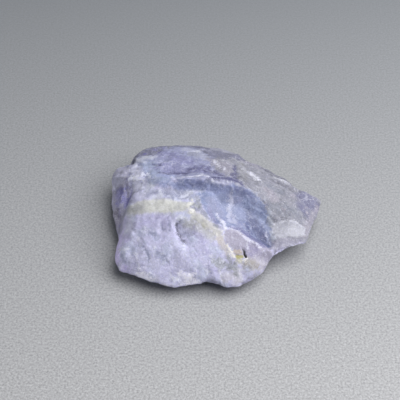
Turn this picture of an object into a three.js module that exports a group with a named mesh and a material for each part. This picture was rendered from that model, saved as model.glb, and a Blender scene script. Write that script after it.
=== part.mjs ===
// A rough, broken lump of hackmanite, 45 mm long, lying on a small flat spot.
// Millimetres, +Z up. +X runs to the pointed right end, -Y to the pale front face. The origin is on the
// surface that the stone rests on, under the middle of its outline.
//
// The stone is surveyed like a small hill. Named lines and spot heights, read by eye to about half a
// millimetre, give the upper side down to the rim, the widest line all round, and a second survey gives the
// underside. Each survey is joined into flat facets in plan, the facets are cut small, the edges are worn a
// little, and the broken relief is laid on along the surface.
import * as THREE from 'three';

// ---------------------------------------------------------------- driving dimensions

const STONE_LENGTH = 45; // left end to pointed right end
const LONGEST_EDGE = 1.3; // of a triangle on the upper side and the walls
const LONGEST_EDGE_UNDER = 2.4; // of a triangle lower than the next height
const UNDER_HEIGHT = 2.3;
const WEAR_SHARE = 0.25; // how far every corner is eased towards its neighbours
const LUMPS = { size: 6, height: 0.25 }; // broad swells and dips
const CHIPS = { size: 3, height: 0.42 }; // broken facets, joined along creases
const CHIP_TURN = new THREE.Euler(0.5, 0.9, 0.4); // keeps the creases off the main directions
const LIFT_OFF_BASE = 0.06; // least height of anything that isn't the flat base

// ---------------------------------------------------------------- the survey, [x, y, height]

// The rim, anticlockwise seen from above: down the left end, along the front, up to the tip and round the back.
const RIM = [
  [-21.8, 10.3, 5.5], [-22, 6.4, 4.5], [-21.3, 2, 4], [-20.4, -3.9, 3.5], [-20.6, -8, 3.5],
  [-20.4, -11.1, 3.5], [-19.5, -12.8, 3], [-16.5, -14, 3], [-12.2, -15.9, 3], [-8.9, -16.9, 2.5],
  [-5.3, -16.4, 2.5], [-3.3, -16.4, 3], [-1.7, -15.9, 3.5], [0.1, -16.1, 3], [2.1, -16.8, 2.5],
  [4.4, -16.8, 2.5], [6.8, -15.7, 3], [9.3, -13.1, 3], [10.5, -11.1, 3.5], [11.5, -10.2, 4.5],
  [13.6, -9.1, 5], [15.7, -7.9, 5], [18, -6.5, 4.5], [19, -4.2, 4.5], [19.9, -1.4, 5], [21.1, 1.1, 5],
  [21.9, 3.2, 5.5], [21.6, 4.7, 5], [19, 6.2, 4.5], [16.4, 7.6, 4], [14, 10, 3.5], [10.8, 11.8, 3],
  [7.9, 13.4, 3], [6.2, 15.4, 2.5], [4.2, 17.6, 3], [0.2, 18.8, 3], [-3.3, 18.8, 2.5], [-7, 19.2, 2.5],
  [-11, 19.6, 2.5], [-14.6, 19.6, 3], [-17.2, 17.9, 3.5], [-18.5, 15.2, 4], [-19.2, 13.2, 4.5], [-20.9, 12.5, 5.5],
];

// The upper side. Each line runs from left to right.
const UPPER = {
  // The skyline seen from the front; behind it the broken back wall drops to the rim.
  backCrest: [
    [-20.6, 11.1, 7.5], [-18.7, 10.9, 8.5], [-17.2, 11.4, 9], [-16.9, 13.9, 8.5], [-15.8, 16.4, 7.8],
    [-14, 17.6, 7.4], [-10.8, 17.3, 7.8], [-6.9, 16.4, 9], [-3.3, 16.2, 9], [0.1, 16.4, 8.2],
    [3.5, 14.7, 8.7], [5.1, 12.7, 9.5], [7.2, 10.9, 9.5], [10.1, 9.7, 9], [13.5, 8, 8.5],
    [15.9, 5.9, 8], [18.6, 4.9, 7.5], [21, 3.9, 6.5],
  ],
  backWall: [
    [-16.4, 17.1, 5.4], [-14.1, 18.6, 5.2], [-10.9, 18.5, 6], [-7, 17.8, 5.4], [-3.3, 17.6, 6.4],
    [0.2, 17.6, 5.4], [4, 16, 6.2], [5.7, 13.8, 5.6], [7.6, 12.1, 6.4], [10.5, 10.8, 5.6], [13.9, 9, 6],
  ],
  // The left end is a steep facet with two shell-shaped hollows, a rib between them.
  leftCrest: [
    [-19, 8.6, 9.4], [-17.7, 9, 10.2], [-17, 5.1, 10.8], [-17, 0.9, 10.6], [-17.6, -1.7, 9.7],
    [-18.7, -2.9, 8], [-19.6, -4.6, 5.8],
  ],
  leftRib: [[-19.9, 7.6, 9], [-19.2, 5, 8.2], [-19.4, 3, 7.2], [-20, 1.2, 5.6]],
  leftHollows: [[-20.9, 6.9, 5.4], [-20.6, 4.4, 4.6], [-18, 4, 7.9], [-18.3, 1.4, 6.6], [-19.3, -1, 4.8]],
  // The plateau leans gently back; its back corners are broken off in two darker facets.
  plateauEdge: [[-15.9, 12.2, 10], [-14.2, 10.6, 11.4], [-11.7, 10.6, 11.7], [-10.3, 13.4, 10.7]],
  plateauEdgeRight: [[-1.9, 11.4, 11.2], [-0.2, 10.1, 11.6], [3.2, 9.9, 11.2]],
  plateau: [
    [-6.5, 13.4, 10.9], [-3.2, 13.2, 10.9], [-7.5, 9.2, 12.1], [-3.3, 8.9, 12.3], [-11.6, 8.1, 12.3],
    [-15.6, 7, 11.8], [-15, 3.7, 12.2], [-13.6, 6, 12.5], [1.3, 7.3, 12.1],
  ],
  groove: [
    [-11.4, 5.2, 12.8], [-9.4, 4.6, 12.9], [-7, 4.4, 12.9], [-4.4, 4.7, 12.8], [-1.8, 4.5, 12.7],
    [0.6, 3.9, 12.6], [2.6, 3.5, 12.4],
  ],
  // The ledge: a sharp lip across the stone, and the foot of the riser under it.
  ledgeLip: [
    [-11.9, 2.8, 13.2], [-9, 2.2, 14.1], [-7.4, 2, 14.4], [-5.5, 2, 14.6], [-3.3, 2, 14.7], [-1.2, 1.9, 14.5],
    [0.6, 1.7, 14.2], [2.5, 1.4, 13.7], [4.7, 1.1, 12.9], [7, 0.8, 11.8], [9.5, 0, 10.4],
  ],
  ledgeFoot: [
    [-11.6, 0.8, 12.4], [-9.2, 0.6, 12.3], [-7.4, 0.7, 12.2], [-5.4, 0.7, 12.2], [-3.4, 0.7, 12.2],
    [-1.2, 0.6, 12.1], [0.6, 0.5, 12], [2.4, 0.4, 11.8], [4.3, 0.3, 11.4], [6.6, -0.2, 10.6], [9.3, -1.1, 9.1],
  ],
  terrace: [[-15.6, 2.2, 11.4], [-13.6, -1.2, 11.6], [-9, -1.8, 12], [-5.2, -1.4, 12.1]],
  creamRidge: [
    [-15.6, -2.3, 10.8], [-13.4, -4.2, 11], [-9.4, -4.9, 11.6], [-5.3, -4.7, 12.3], [-3.3, -5.8, 11.4],
    [-0.9, -7, 10.3], [1.1, -8.2, 9.5],
  ],
  // The scoop is hollow and runs down to the right between the ledge, the cream ridge and the wing.
  scoop: [
    [-3.4, -1.5, 11.7], [-2.4, -3.6, 11.2], [0.6, -1, 10.5], [3.3, -0.8, 9.8], [0.2, -4.2, 9.7],
    [3.4, -3.6, 8.6], [6, -1.4, 8.6], [6.7, -3.8, 7], [9.5, -2.8, 6.7], [7.9, -6, 5.5], [10.2, -7.2, 4.7],
    [10.9, -4.9, 5.8],
  ],
  whiteStreak: [[0.1, -2.7, 10.6], [1.2, -5.4, 9.9]],
  whiteEdge: [
    [2.6, -7.5, 9.5], [4.6, -7.8, 9], [6.4, -8.4, 8.3], [8.4, -9.1, 7.2], [9.6, -9.5, 6.5], [10.5, -9.9, 5.8],
  ],
  lobe: [
    [4.2, -9.4, 8.2], [2, -10.8, 8], [3.9, -12.5, 6.7], [6, -12.6, 6.7], [8, -11.4, 6.2],
    [7.3, -13.9, 4.9], [4.8, -14.5, 4.7], [1.2, -13.7, 5.4], [-0.8, -14.8, 5],
  ],
  // The front face falls from the cream ridge to the rim, with a crescent pit below the ridge's peak.
  face: [
    [-16.5, -6.2, 9.4], [-18.2, -8.6, 6.8], [-18.6, -11.6, 4.9], [-12.5, -7, 10.1], [-13.4, -10.5, 7.9],
    [-14.6, -13, 5.2], [-10.3, -9, 9.5], [-10.9, -12.6, 6.6], [-8.4, -10.6, 8.5], [-9, -15, 4.2],
    [-6.5, -12.4, 7.4], [-4.4, -14.6, 5.2], [-4.3, -11, 8.3], [-2, -12.6, 6.9], [-1.4, -9.6, 8.9],
  ],
  pitRim: [[-9.1, -6.8, 11], [-7.7, -5.9, 11.7], [-8.6, -8.6, 10], [-7.4, -10.4, 8.9]],
  pitFloor: [[-7.8, -7.2, 9.7], [-7.2, -8.8, 8.6], [-6.3, -10, 8.2]],
  paleFacet: [[-5.4, -7, 10.6], [-5, -8.6, 9.6], [-3, -7.7, 10]],
  // The right wing, with an upright break beside the ledge's end and two small steps towards the back.
  wing: [
    [4, 7, 11.4], [4.3, 3.2, 12.6], [5.6, 5.4, 11.3], [9.1, 4.2, 10.5], [11.2, 1.6, 9.4],
    [12.8, 6.4, 8.9], [14.2, 2, 8.5], [17.4, 2.9, 7.2], [19.5, 1.5, 6.3], [17.6, -0.6, 6.9],
    [11.2, -2.2, 7.7], [14.2, -1.6, 7.8],
  ],
  whiteStep: [[11.4, -3.2, 7.3], [14.6, -2.9, 7.2], [17.4, -2.7, 6.5]],
  whiteTerrace: [[11.7, -4.1, 6.1], [14.7, -3.8, 6.1], [17.6, -3.6, 5.6], [17.6, -5.4, 5], [14.4, -6.8, 5.1], [12, -7.2, 5.2]],
};

// The underside: a belly all round, facets between, and the flat spot that the stone stands on.
const UNDER = {
  belly: [
    [-18.3, -10.4, 1.9], [-13.6, -12.3, 1.2], [-8.6, -13.9, 0.9], [-3.4, -13.4, 1.3], [2.4, -14.1, 0.9],
    [6.3, -12.2, 1.3], [8.6, -9, 2], [12.6, -6.3, 2.6], [16.4, -3, 3], [18.6, 1.4, 3.4], [15.4, 4.8, 2.5],
    [11.2, 8.6, 1.6], [6.4, 12, 1.1], [1, 15.8, 1.2], [-5.2, 16, 0.9], [-11.4, 16.7, 1.1],
    [-15.8, 14.2, 1.7], [-18.4, 9.6, 2.4], [-18.9, 3.2, 2], [-18.6, -3.6, 1.9],
  ],
  facets: [
    [-14.4, -6.4, 0.6], [-14.2, 1.4, 0.8], [-12.4, 8.8, 0.9], [-3.4, 10.6, 0.7], [5, 7.4, 0.9],
    [10.6, 2.2, 1.3], [11.4, -2.4, 1.5], [6.4, -7, 0.8], [-2.2, -10.4, 0.5], [-9, -9.4, 0.5],
  ],
  base: [
    [-10.4, -4.8, 0], [-4.6, -7, 0], [2.4, -6.2, 0], [6.6, -2.4, 0], [6.2, 2.6, 0], [1, 6, 0],
    [-5.2, 6.4, 0], [-10.2, 3.2, 0], [-2, -0.4, 0],
  ],
};

// ---------------------------------------------------------------- facets in plan

/** Centre and squared radius of the circle through three plan points. */
function circleThrough([ax, ay], [bx, by], [cx, cy]) {
  const [ux, uy, vx, vy] = [bx - ax, by - ay, cx - ax, cy - ay];
  const twiceArea = 2 * (ux * vy - uy * vx);
  const uu = ux * ux + uy * uy;
  const vv = vx * vx + vy * vy;
  const dx = (vy * uu - uy * vv) / twiceArea;
  const dy = (ux * vv - vx * uu) / twiceArea;
  return { x: ax + dx, y: ay + dy, reach: dx * dx + dy * dy };
}

/** Delaunay triangles in plan: points go in one by one, and each remakes the triangles whose circle holds it. */
function planTriangles(points) {
  const far = 500;
  const plan = [...points.map(([x, y]) => [x, y]), [-far, -far], [far, -far], [0, far]];
  const count = points.length;
  const circled = (corners) => ({ corners, circle: circleThrough(...corners.map((i) => plan[i])) });
  let triangles = [circled([count, count + 1, count + 2])];
  for (let i = 0; i < count; i += 1) {
    const [x, y] = plan[i];
    const holds = ({ circle }) => (x - circle.x) ** 2 + (y - circle.y) ** 2 < circle.reach;
    const opened = triangles.filter(holds);
    const edges = opened.flatMap(({ corners: [a, b, c] }) => [[a, b], [b, c], [c, a]]);
    const border = edges.filter(([a, b]) => !edges.some(([c, d]) => c === b && d === a));
    triangles = triangles.filter((triangle) => !holds(triangle));
    triangles.push(...border.map(([a, b]) => circled([a, b, i])));
  }
  return triangles.map(({ corners }) => corners).filter((corners) => corners.every((i) => i < count));
}

/** True when a plan point lies inside the closed outline: a line from it to the right crosses it an odd number of times. */
function insideOutline(x, y, outline) {
  return outline.reduce((inside, [ax, ay], i) => {
    const [bx, by] = outline[(i + 1) % outline.length];
    const crosses = ay > y !== by > y && x < ax + ((y - ay) * (bx - ax)) / (by - ay);
    return crosses ? !inside : inside;
  }, false);
}

/** Facets of one survey: the rim's corners come first, then the inner points. */
function surveyFacets(inner) {
  const points = [...RIM, ...inner];
  return planTriangles(points).filter((corners) => {
    const [x, y] = [0, 1].map((axis) => corners.reduce((sum, i) => sum + points[i][axis], 0) / 3);
    return insideOutline(x, y, RIM);
  });
}

/** The whole stone as flat facets: upper survey facing up, lower survey facing down, one rim between them. */
function surveyedStone() {
  const upper = Object.values(UPPER).flat();
  const under = Object.values(UNDER).flat();
  const shift = (i) => (i < RIM.length ? i : i + upper.length);
  return {
    corners: [...RIM, ...upper, ...under].map(([x, y, z]) => new THREE.Vector3(x, y, z)),
    facets: [
      ...surveyFacets(upper),
      ...surveyFacets(under).map(([a, b, c]) => [shift(a), shift(c), shift(b)]),
    ],
  };
}

// ---------------------------------------------------------------- cutting facets small

/** Cuts every edge that is too long in half, again and again, until none is left. */
function cutSmall({ corners, facets }) {
  const middles = new Map();
  const middle = (a, b) => {
    const under = corners[a].z + corners[b].z < 2 * UNDER_HEIGHT;
    const limit = under ? LONGEST_EDGE_UNDER : LONGEST_EDGE;
    if (corners[a].distanceTo(corners[b]) <= limit) return null;
    const key = a < b ? `${a},${b}` : `${b},${a}`;
    if (!middles.has(key)) middles.set(key, corners.push(corners[a].clone().lerp(corners[b], 0.5)) - 1);
    return middles.get(key);
  };
  const cut = ([a, b, c]) => {
    const [ab, bc, ca] = [middle(a, b), middle(b, c), middle(c, a)];
    const cuts = [ab, bc, ca].filter((i) => i !== null).length;
    if (cuts === 3) return [[a, ab, ca], [ab, b, bc], [ca, bc, c], [ab, bc, ca]];
    if (cuts === 0) return [[a, b, c]];
    if (ab === null) return cut([b, c, a]); // turned until the first edge is a cut one
    if (cuts === 1) return [[a, ab, c], [ab, b, c]];
    if (bc === null) return cut([c, a, b]); // turned until the uncut edge is the last one
    return [[ab, b, bc], [a, ab, bc], [a, bc, c]];
  };
  let whole = facets;
  for (;;) {
    const next = whole.flatMap(cut);
    if (next.length === whole.length) return { corners, facets: next };
    whole = next;
  }
}

/** Eases every corner that isn't on the flat base towards the middle of its neighbours. */
function wear({ corners, facets }) {
  const sums = corners.map(() => new THREE.Vector3());
  const counts = corners.map(() => 0);
  facets.forEach(([a, b, c]) => {
    [[a, b], [b, c], [c, a]].forEach(([from, to]) => {
      sums[from].add(corners[to]);
      counts[from] += 1;
    });
  });
  const eased = corners.map((corner, i) => {
    if (corner.z === 0) return corner;
    return corner.clone().lerp(sums[i].divideScalar(counts[i]), WEAR_SHARE);
  });
  return { corners: eased, facets };
}

// ---------------------------------------------------------------- broken relief

/** A repeatable number from -1 to 1 for a cell of space; "salt" gives each use its own numbers. */
function cellNumber(i, j, k, salt) {
  let h = Math.imul(i, 374761393) ^ Math.imul(j, 668265263) ^ Math.imul(k, 2147483647) ^ Math.imul(salt, 1274126177);
  h = Math.imul(h ^ (h >>> 15), 2246822519);
  h = Math.imul(h ^ (h >>> 13), 3266489917);
  return ((h ^ (h >>> 16)) >>> 0) / 2147483648 - 1;
}

/** Smooth swells: cell numbers at the corners of a cube, blended across it. */
function swell(point, size, salt) {
  const at = point.clone().divideScalar(size);
  const low = at.clone().floor();
  const t = at.sub(low);
  const blend = [t.x, t.y, t.z].map((v) => v * v * (3 - 2 * v));
  let sum = 0;
  for (let corner = 0; corner < 8; corner += 1) {
    const step = [corner & 1, (corner >> 1) & 1, corner >> 2];
    const weight = step.reduce((w, s, axis) => w * (s ? blend[axis] : 1 - blend[axis]), 1);
    sum += weight * cellNumber(low.x + step[0], low.y + step[1], low.z + step[2], salt);
  }
  return sum;
}

/** Flat chips: each cube is cut into six tetrahedra, and a flat facet joins the numbers at each one's corners. */
function chip(point, size, salt) {
  const at = point.clone().divideScalar(size).applyEuler(CHIP_TURN);
  const cell = at.clone().floor().toArray();
  const t = at.toArray().map((v, axis) => v - cell[axis]);
  const order = [0, 1, 2].sort((a, b) => t[b] - t[a]);
  let sum = (1 - t[order[0]]) * cellNumber(...cell, salt);
  order.forEach((axis, n) => {
    cell[axis] += 1;
    sum += (t[axis] - (n < 2 ? t[order[n + 1]] : 0)) * cellNumber(...cell, salt);
  });
  return sum;
}

/** Lays the relief on along the surface. The flat base keeps its place, and nothing reaches under it. */
function breakUp({ corners, facets }) {
  const facing = corners.map(() => new THREE.Vector3());
  facets.forEach(([a, b, c]) => {
    const across = corners[b].clone().sub(corners[a]).cross(corners[c].clone().sub(corners[a]));
    [a, b, c].forEach((i) => facing[i].add(across));
  });
  const broken = corners.map((corner, i) => {
    if (corner.z === 0) return corner;
    const height = LUMPS.height * swell(corner, LUMPS.size, 1) + CHIPS.height * chip(corner, CHIPS.size, 2);
    const moved = corner.clone().addScaledVector(facing[i].normalize(), height);
    moved.z = Math.max(moved.z, LIFT_OFF_BASE);
    return moved;
  });
  return { corners: broken, facets };
}

// ---------------------------------------------------------------- the mesh

/** Centres the outline on the origin and brings the stone to its length; heights grow with it. */
function geometryOf({ corners, facets }) {
  const geometry = new THREE.BufferGeometry();
  geometry.setAttribute('position', new THREE.Float32BufferAttribute(corners.flatMap((v) => [v.x, v.y, v.z]), 3));
  geometry.setIndex(facets.flat());
  geometry.computeBoundingBox();
  const { min, max } = geometry.boundingBox;
  const scale = STONE_LENGTH / (max.x - min.x);
  geometry.translate(-(min.x + max.x) / 2, -(min.y + max.y) / 2, 0);
  geometry.scale(scale, scale, scale);
  geometry.computeVertexNormals();
  return geometry;
}

function hackmaniteStone() {
  const stone = wear(cutSmall(surveyedStone()));
  const material = new THREE.MeshStandardMaterial({ color: 0xb4b4d0, roughness: 0.5, metalness: 0 });
  const mesh = new THREE.Mesh(geometryOf(breakUp(stone)), material);
  mesh.name = 'hackmanite';
  return mesh;
}

const part = new THREE.Group();
part.add(hackmaniteStone());

export default part;
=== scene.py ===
import math
from typing import NamedTuple

import bpy
import numpy as np
from bpy.props import FloatProperty, FloatVectorProperty, IntProperty, PointerProperty
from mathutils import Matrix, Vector


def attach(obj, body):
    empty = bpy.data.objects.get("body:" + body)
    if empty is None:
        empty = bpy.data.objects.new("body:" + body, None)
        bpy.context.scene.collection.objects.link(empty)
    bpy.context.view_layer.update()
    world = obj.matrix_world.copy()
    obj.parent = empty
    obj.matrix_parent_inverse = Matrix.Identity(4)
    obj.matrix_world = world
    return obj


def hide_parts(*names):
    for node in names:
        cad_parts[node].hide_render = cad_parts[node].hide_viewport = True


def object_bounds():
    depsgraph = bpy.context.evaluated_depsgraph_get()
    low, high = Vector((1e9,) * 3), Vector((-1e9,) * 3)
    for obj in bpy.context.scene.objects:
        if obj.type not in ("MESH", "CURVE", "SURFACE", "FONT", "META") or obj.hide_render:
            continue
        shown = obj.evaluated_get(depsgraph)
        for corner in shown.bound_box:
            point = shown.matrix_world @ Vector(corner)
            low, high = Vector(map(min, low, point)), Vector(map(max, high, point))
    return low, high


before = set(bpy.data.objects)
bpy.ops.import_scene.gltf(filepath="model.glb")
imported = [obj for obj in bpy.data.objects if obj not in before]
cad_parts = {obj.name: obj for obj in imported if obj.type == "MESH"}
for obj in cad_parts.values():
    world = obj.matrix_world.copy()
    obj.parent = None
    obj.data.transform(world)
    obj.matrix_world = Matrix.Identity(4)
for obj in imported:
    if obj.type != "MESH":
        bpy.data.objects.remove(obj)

bl_info = {
    "name": "Hackmanite stone",
    "version": (1, 0, 0),
    "blender": (4, 5, 0),
    "location": "3D View > Sidebar > Hackmanite",
    "description": "Lays broken relief and mineral colours on a rough lump of hackmanite",
    "category": "Add Mesh",
}

# ------------------------------------------------ the frame that everything is worked out from

NODE = "hackmanite"
BODY = "root"
CAD_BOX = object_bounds()
MM = 0.001
PLACES_LENGTH = 45.0  # length in mm of the stone that the places below are given on
PLACE = (CAD_BOX[1].x - CAD_BOX[0].x) / PLACES_LENGTH  # metres for each millimetre of a place

# ------------------------------------------------ where the colours and breaks lie


class Mark(NamedTuple):
    """A patch, vein or crack on the upper side, given by its colour and by lines on the plan of the stone.

    Each line is a list of (x, y, half width) in mm: x from the middle towards the pointed right end, y from
    the middle towards the back. A line of one place is a spot.
    """

    colour: str
    lines: list
    ragged: float = 0.7  # how far the grains shift its edge, in mm
    soft: float = 0.3  # how far its edge fades to each side, in mm
    strength: float = 0.85
    height: float = 0.0  # how far it stands out of the surface, in mm


# broad tones, laid under the rest
BROAD = {
    "upper_side": Mark("upper", [
        [(-17, 8.4, 3.4), (-13, 8.6, 7), (-9, 9, 8.4), (-3, 8.6, 8.4), (2, 8, 8), (5, 6, 7)],
    ], ragged=1, soft=0.6, strength=1),
    "wing_side": Mark("wing", [
        [(6.4, 6.4, 7), (10, 4.4, 6.8), (14, 1.4, 7.4), (18, -0.6, 6), (21, 1, 3)],
        [(13, -7, 3), (17, -6, 3)],
    ], ragged=0.8, soft=0.6, strength=1),
    # painted light on the middle of the front face, lifting its shade
    "face_middle": Mark("face_pale_painted_light", [
        [(-15.4, -13.4, 1), (-12.6, -15, 1.4)],
        [(-8.4, -12.8, 0.9), (-8.2, -14.6, 1.1), (-6, -15.8, 1.2), (-6.6, -17.4, 0.9)],
        [(-16, -16.8, 0.9), (-15, -17.4, 0.7)],
    ], ragged=1.5, soft=1.2),
}

# the left end: its flank, rib, hollows and foot; its colours are lightened overall as painted light on this
# side, which faces away from the key light
LEFT_END = {
    "left_flank": Mark("left_grey", [
        [(-21.4, 8.6, 1.2), (-20.6, 5, 2), (-20.2, 1.6, 2.2), (-20.6, -1.8, 1.4), (-20.4, -4.8, 0.8)],
    ], soft=0.4, strength=0.95),
    "left_inner": Mark("left_pale", [
        [(-19.9, 5.5, 0.6), (-19.3, 4.6, 0.5), (-19.2, 3.8, 0.3)],
    ], strength=0.8),
    "left_rib": Mark("left_pale", [
        [(-20.4, 9.2, 1), (-19.3, 7.6, 1.1), (-19.1, 6.2, 0.9), (-19.1, 5.2, 0.7)],
    ], strength=1),
    # painted light on the top of the left end, over the shaded upper edge of its outer recess
    "left_top_painted_light": Mark("left_top_painted_light", [
        [(-21.8, 8.2, 0.8), (-21.2, 6.9, 1), (-20.6, 5.9, 0.8), (-20.2, 5.4, 0.4)],
    ], soft=0.6),
    "outer_hollow": Mark("left_violet", [
        [(-21.2, 4.9, 0.4), (-20.7, 4, 0.7), (-20.4, 3, 0.7)], [(-21.2, 2.2, 0.4), (-20.6, 1, 0.5)],
    ], height=-0.15),
    "outer_depth": Mark("left_dark", [
        [(-20.2, 4.2, 0.2), (-20, 3.3, 0.5), (-19.9, 2.2, 0.6), (-19.7, 1.5, 0.6)],
        [(-21.2, 1.6, 0.2), (-20.9, 0.8, 0.2)],
    ], ragged=0.6),
    "inner_hollow": Mark("left_violet", [
        [(-19.2, 3.4, 0.3), (-19, 2.2, 0.45), (-19.2, 1, 0.6), (-18.9, 0, 0.45)],
    ], ragged=0.9, height=-0.15),
    "left_notch": Mark("left_dark", [[(-18.9, 4.8, 0.25), (-18.3, 4.6, 0.25)]], ragged=0.5, strength=0.6),
    "left_seam": Mark("left_dark", [
        [(-17.8, 3.4, 0.2), (-17.8, 2.4, 0.3), (-18.1, 1.2, 0.4), (-18.4, 0.2, 0.45), (-18.3, -1.2, 0.5)],
    ], ragged=0.5, strength=0.8, height=-0.1),
    "left_spots": Mark("left_dark", [
        [(-21.3, 0.6, 0.25)], [(-20.4, -0.4, 0.25), (-20.6, -1.6, 0.2)], [(-20.9, -2.8, 0.25)],
        [(-20.2, -3.6, 0.2)],
    ], ragged=0.8, strength=0.5),
    "left_foot": Mark("left_shade", [[(-21.6, 0, 0.8), (-21.2, -2.4, 1)]], soft=0.5, strength=0.7),
    "left_turn": Mark("band", [
        [(-19, -4.8, 0.6), (-19, -6, 0.6)], [(-18.8, -8.6, 0.5), (-18.8, -10, 0.6)],
    ], ragged=1.2, soft=0.7, strength=0.6),
    # painted light on the left edge of the front face, which faces away from the light
    "face_left": Mark("face_pale_painted_light", [
        [(-18.8, -5.2, 0.7), (-18.2, -7, 0.9), (-17.2, -8.6, 0.7), (-16.6, -10.4, 0.5)],
        [(-18.4, -13, 0.6), (-17, -14, 0.6)],
    ], soft=0.6, strength=0.8),
    "left_band": Mark("band", [[(-20.4, -7, 0.9), (-20.7, -10, 0.9), (-20.9, -13, 0.8)]], soft=0.6),
}

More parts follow.
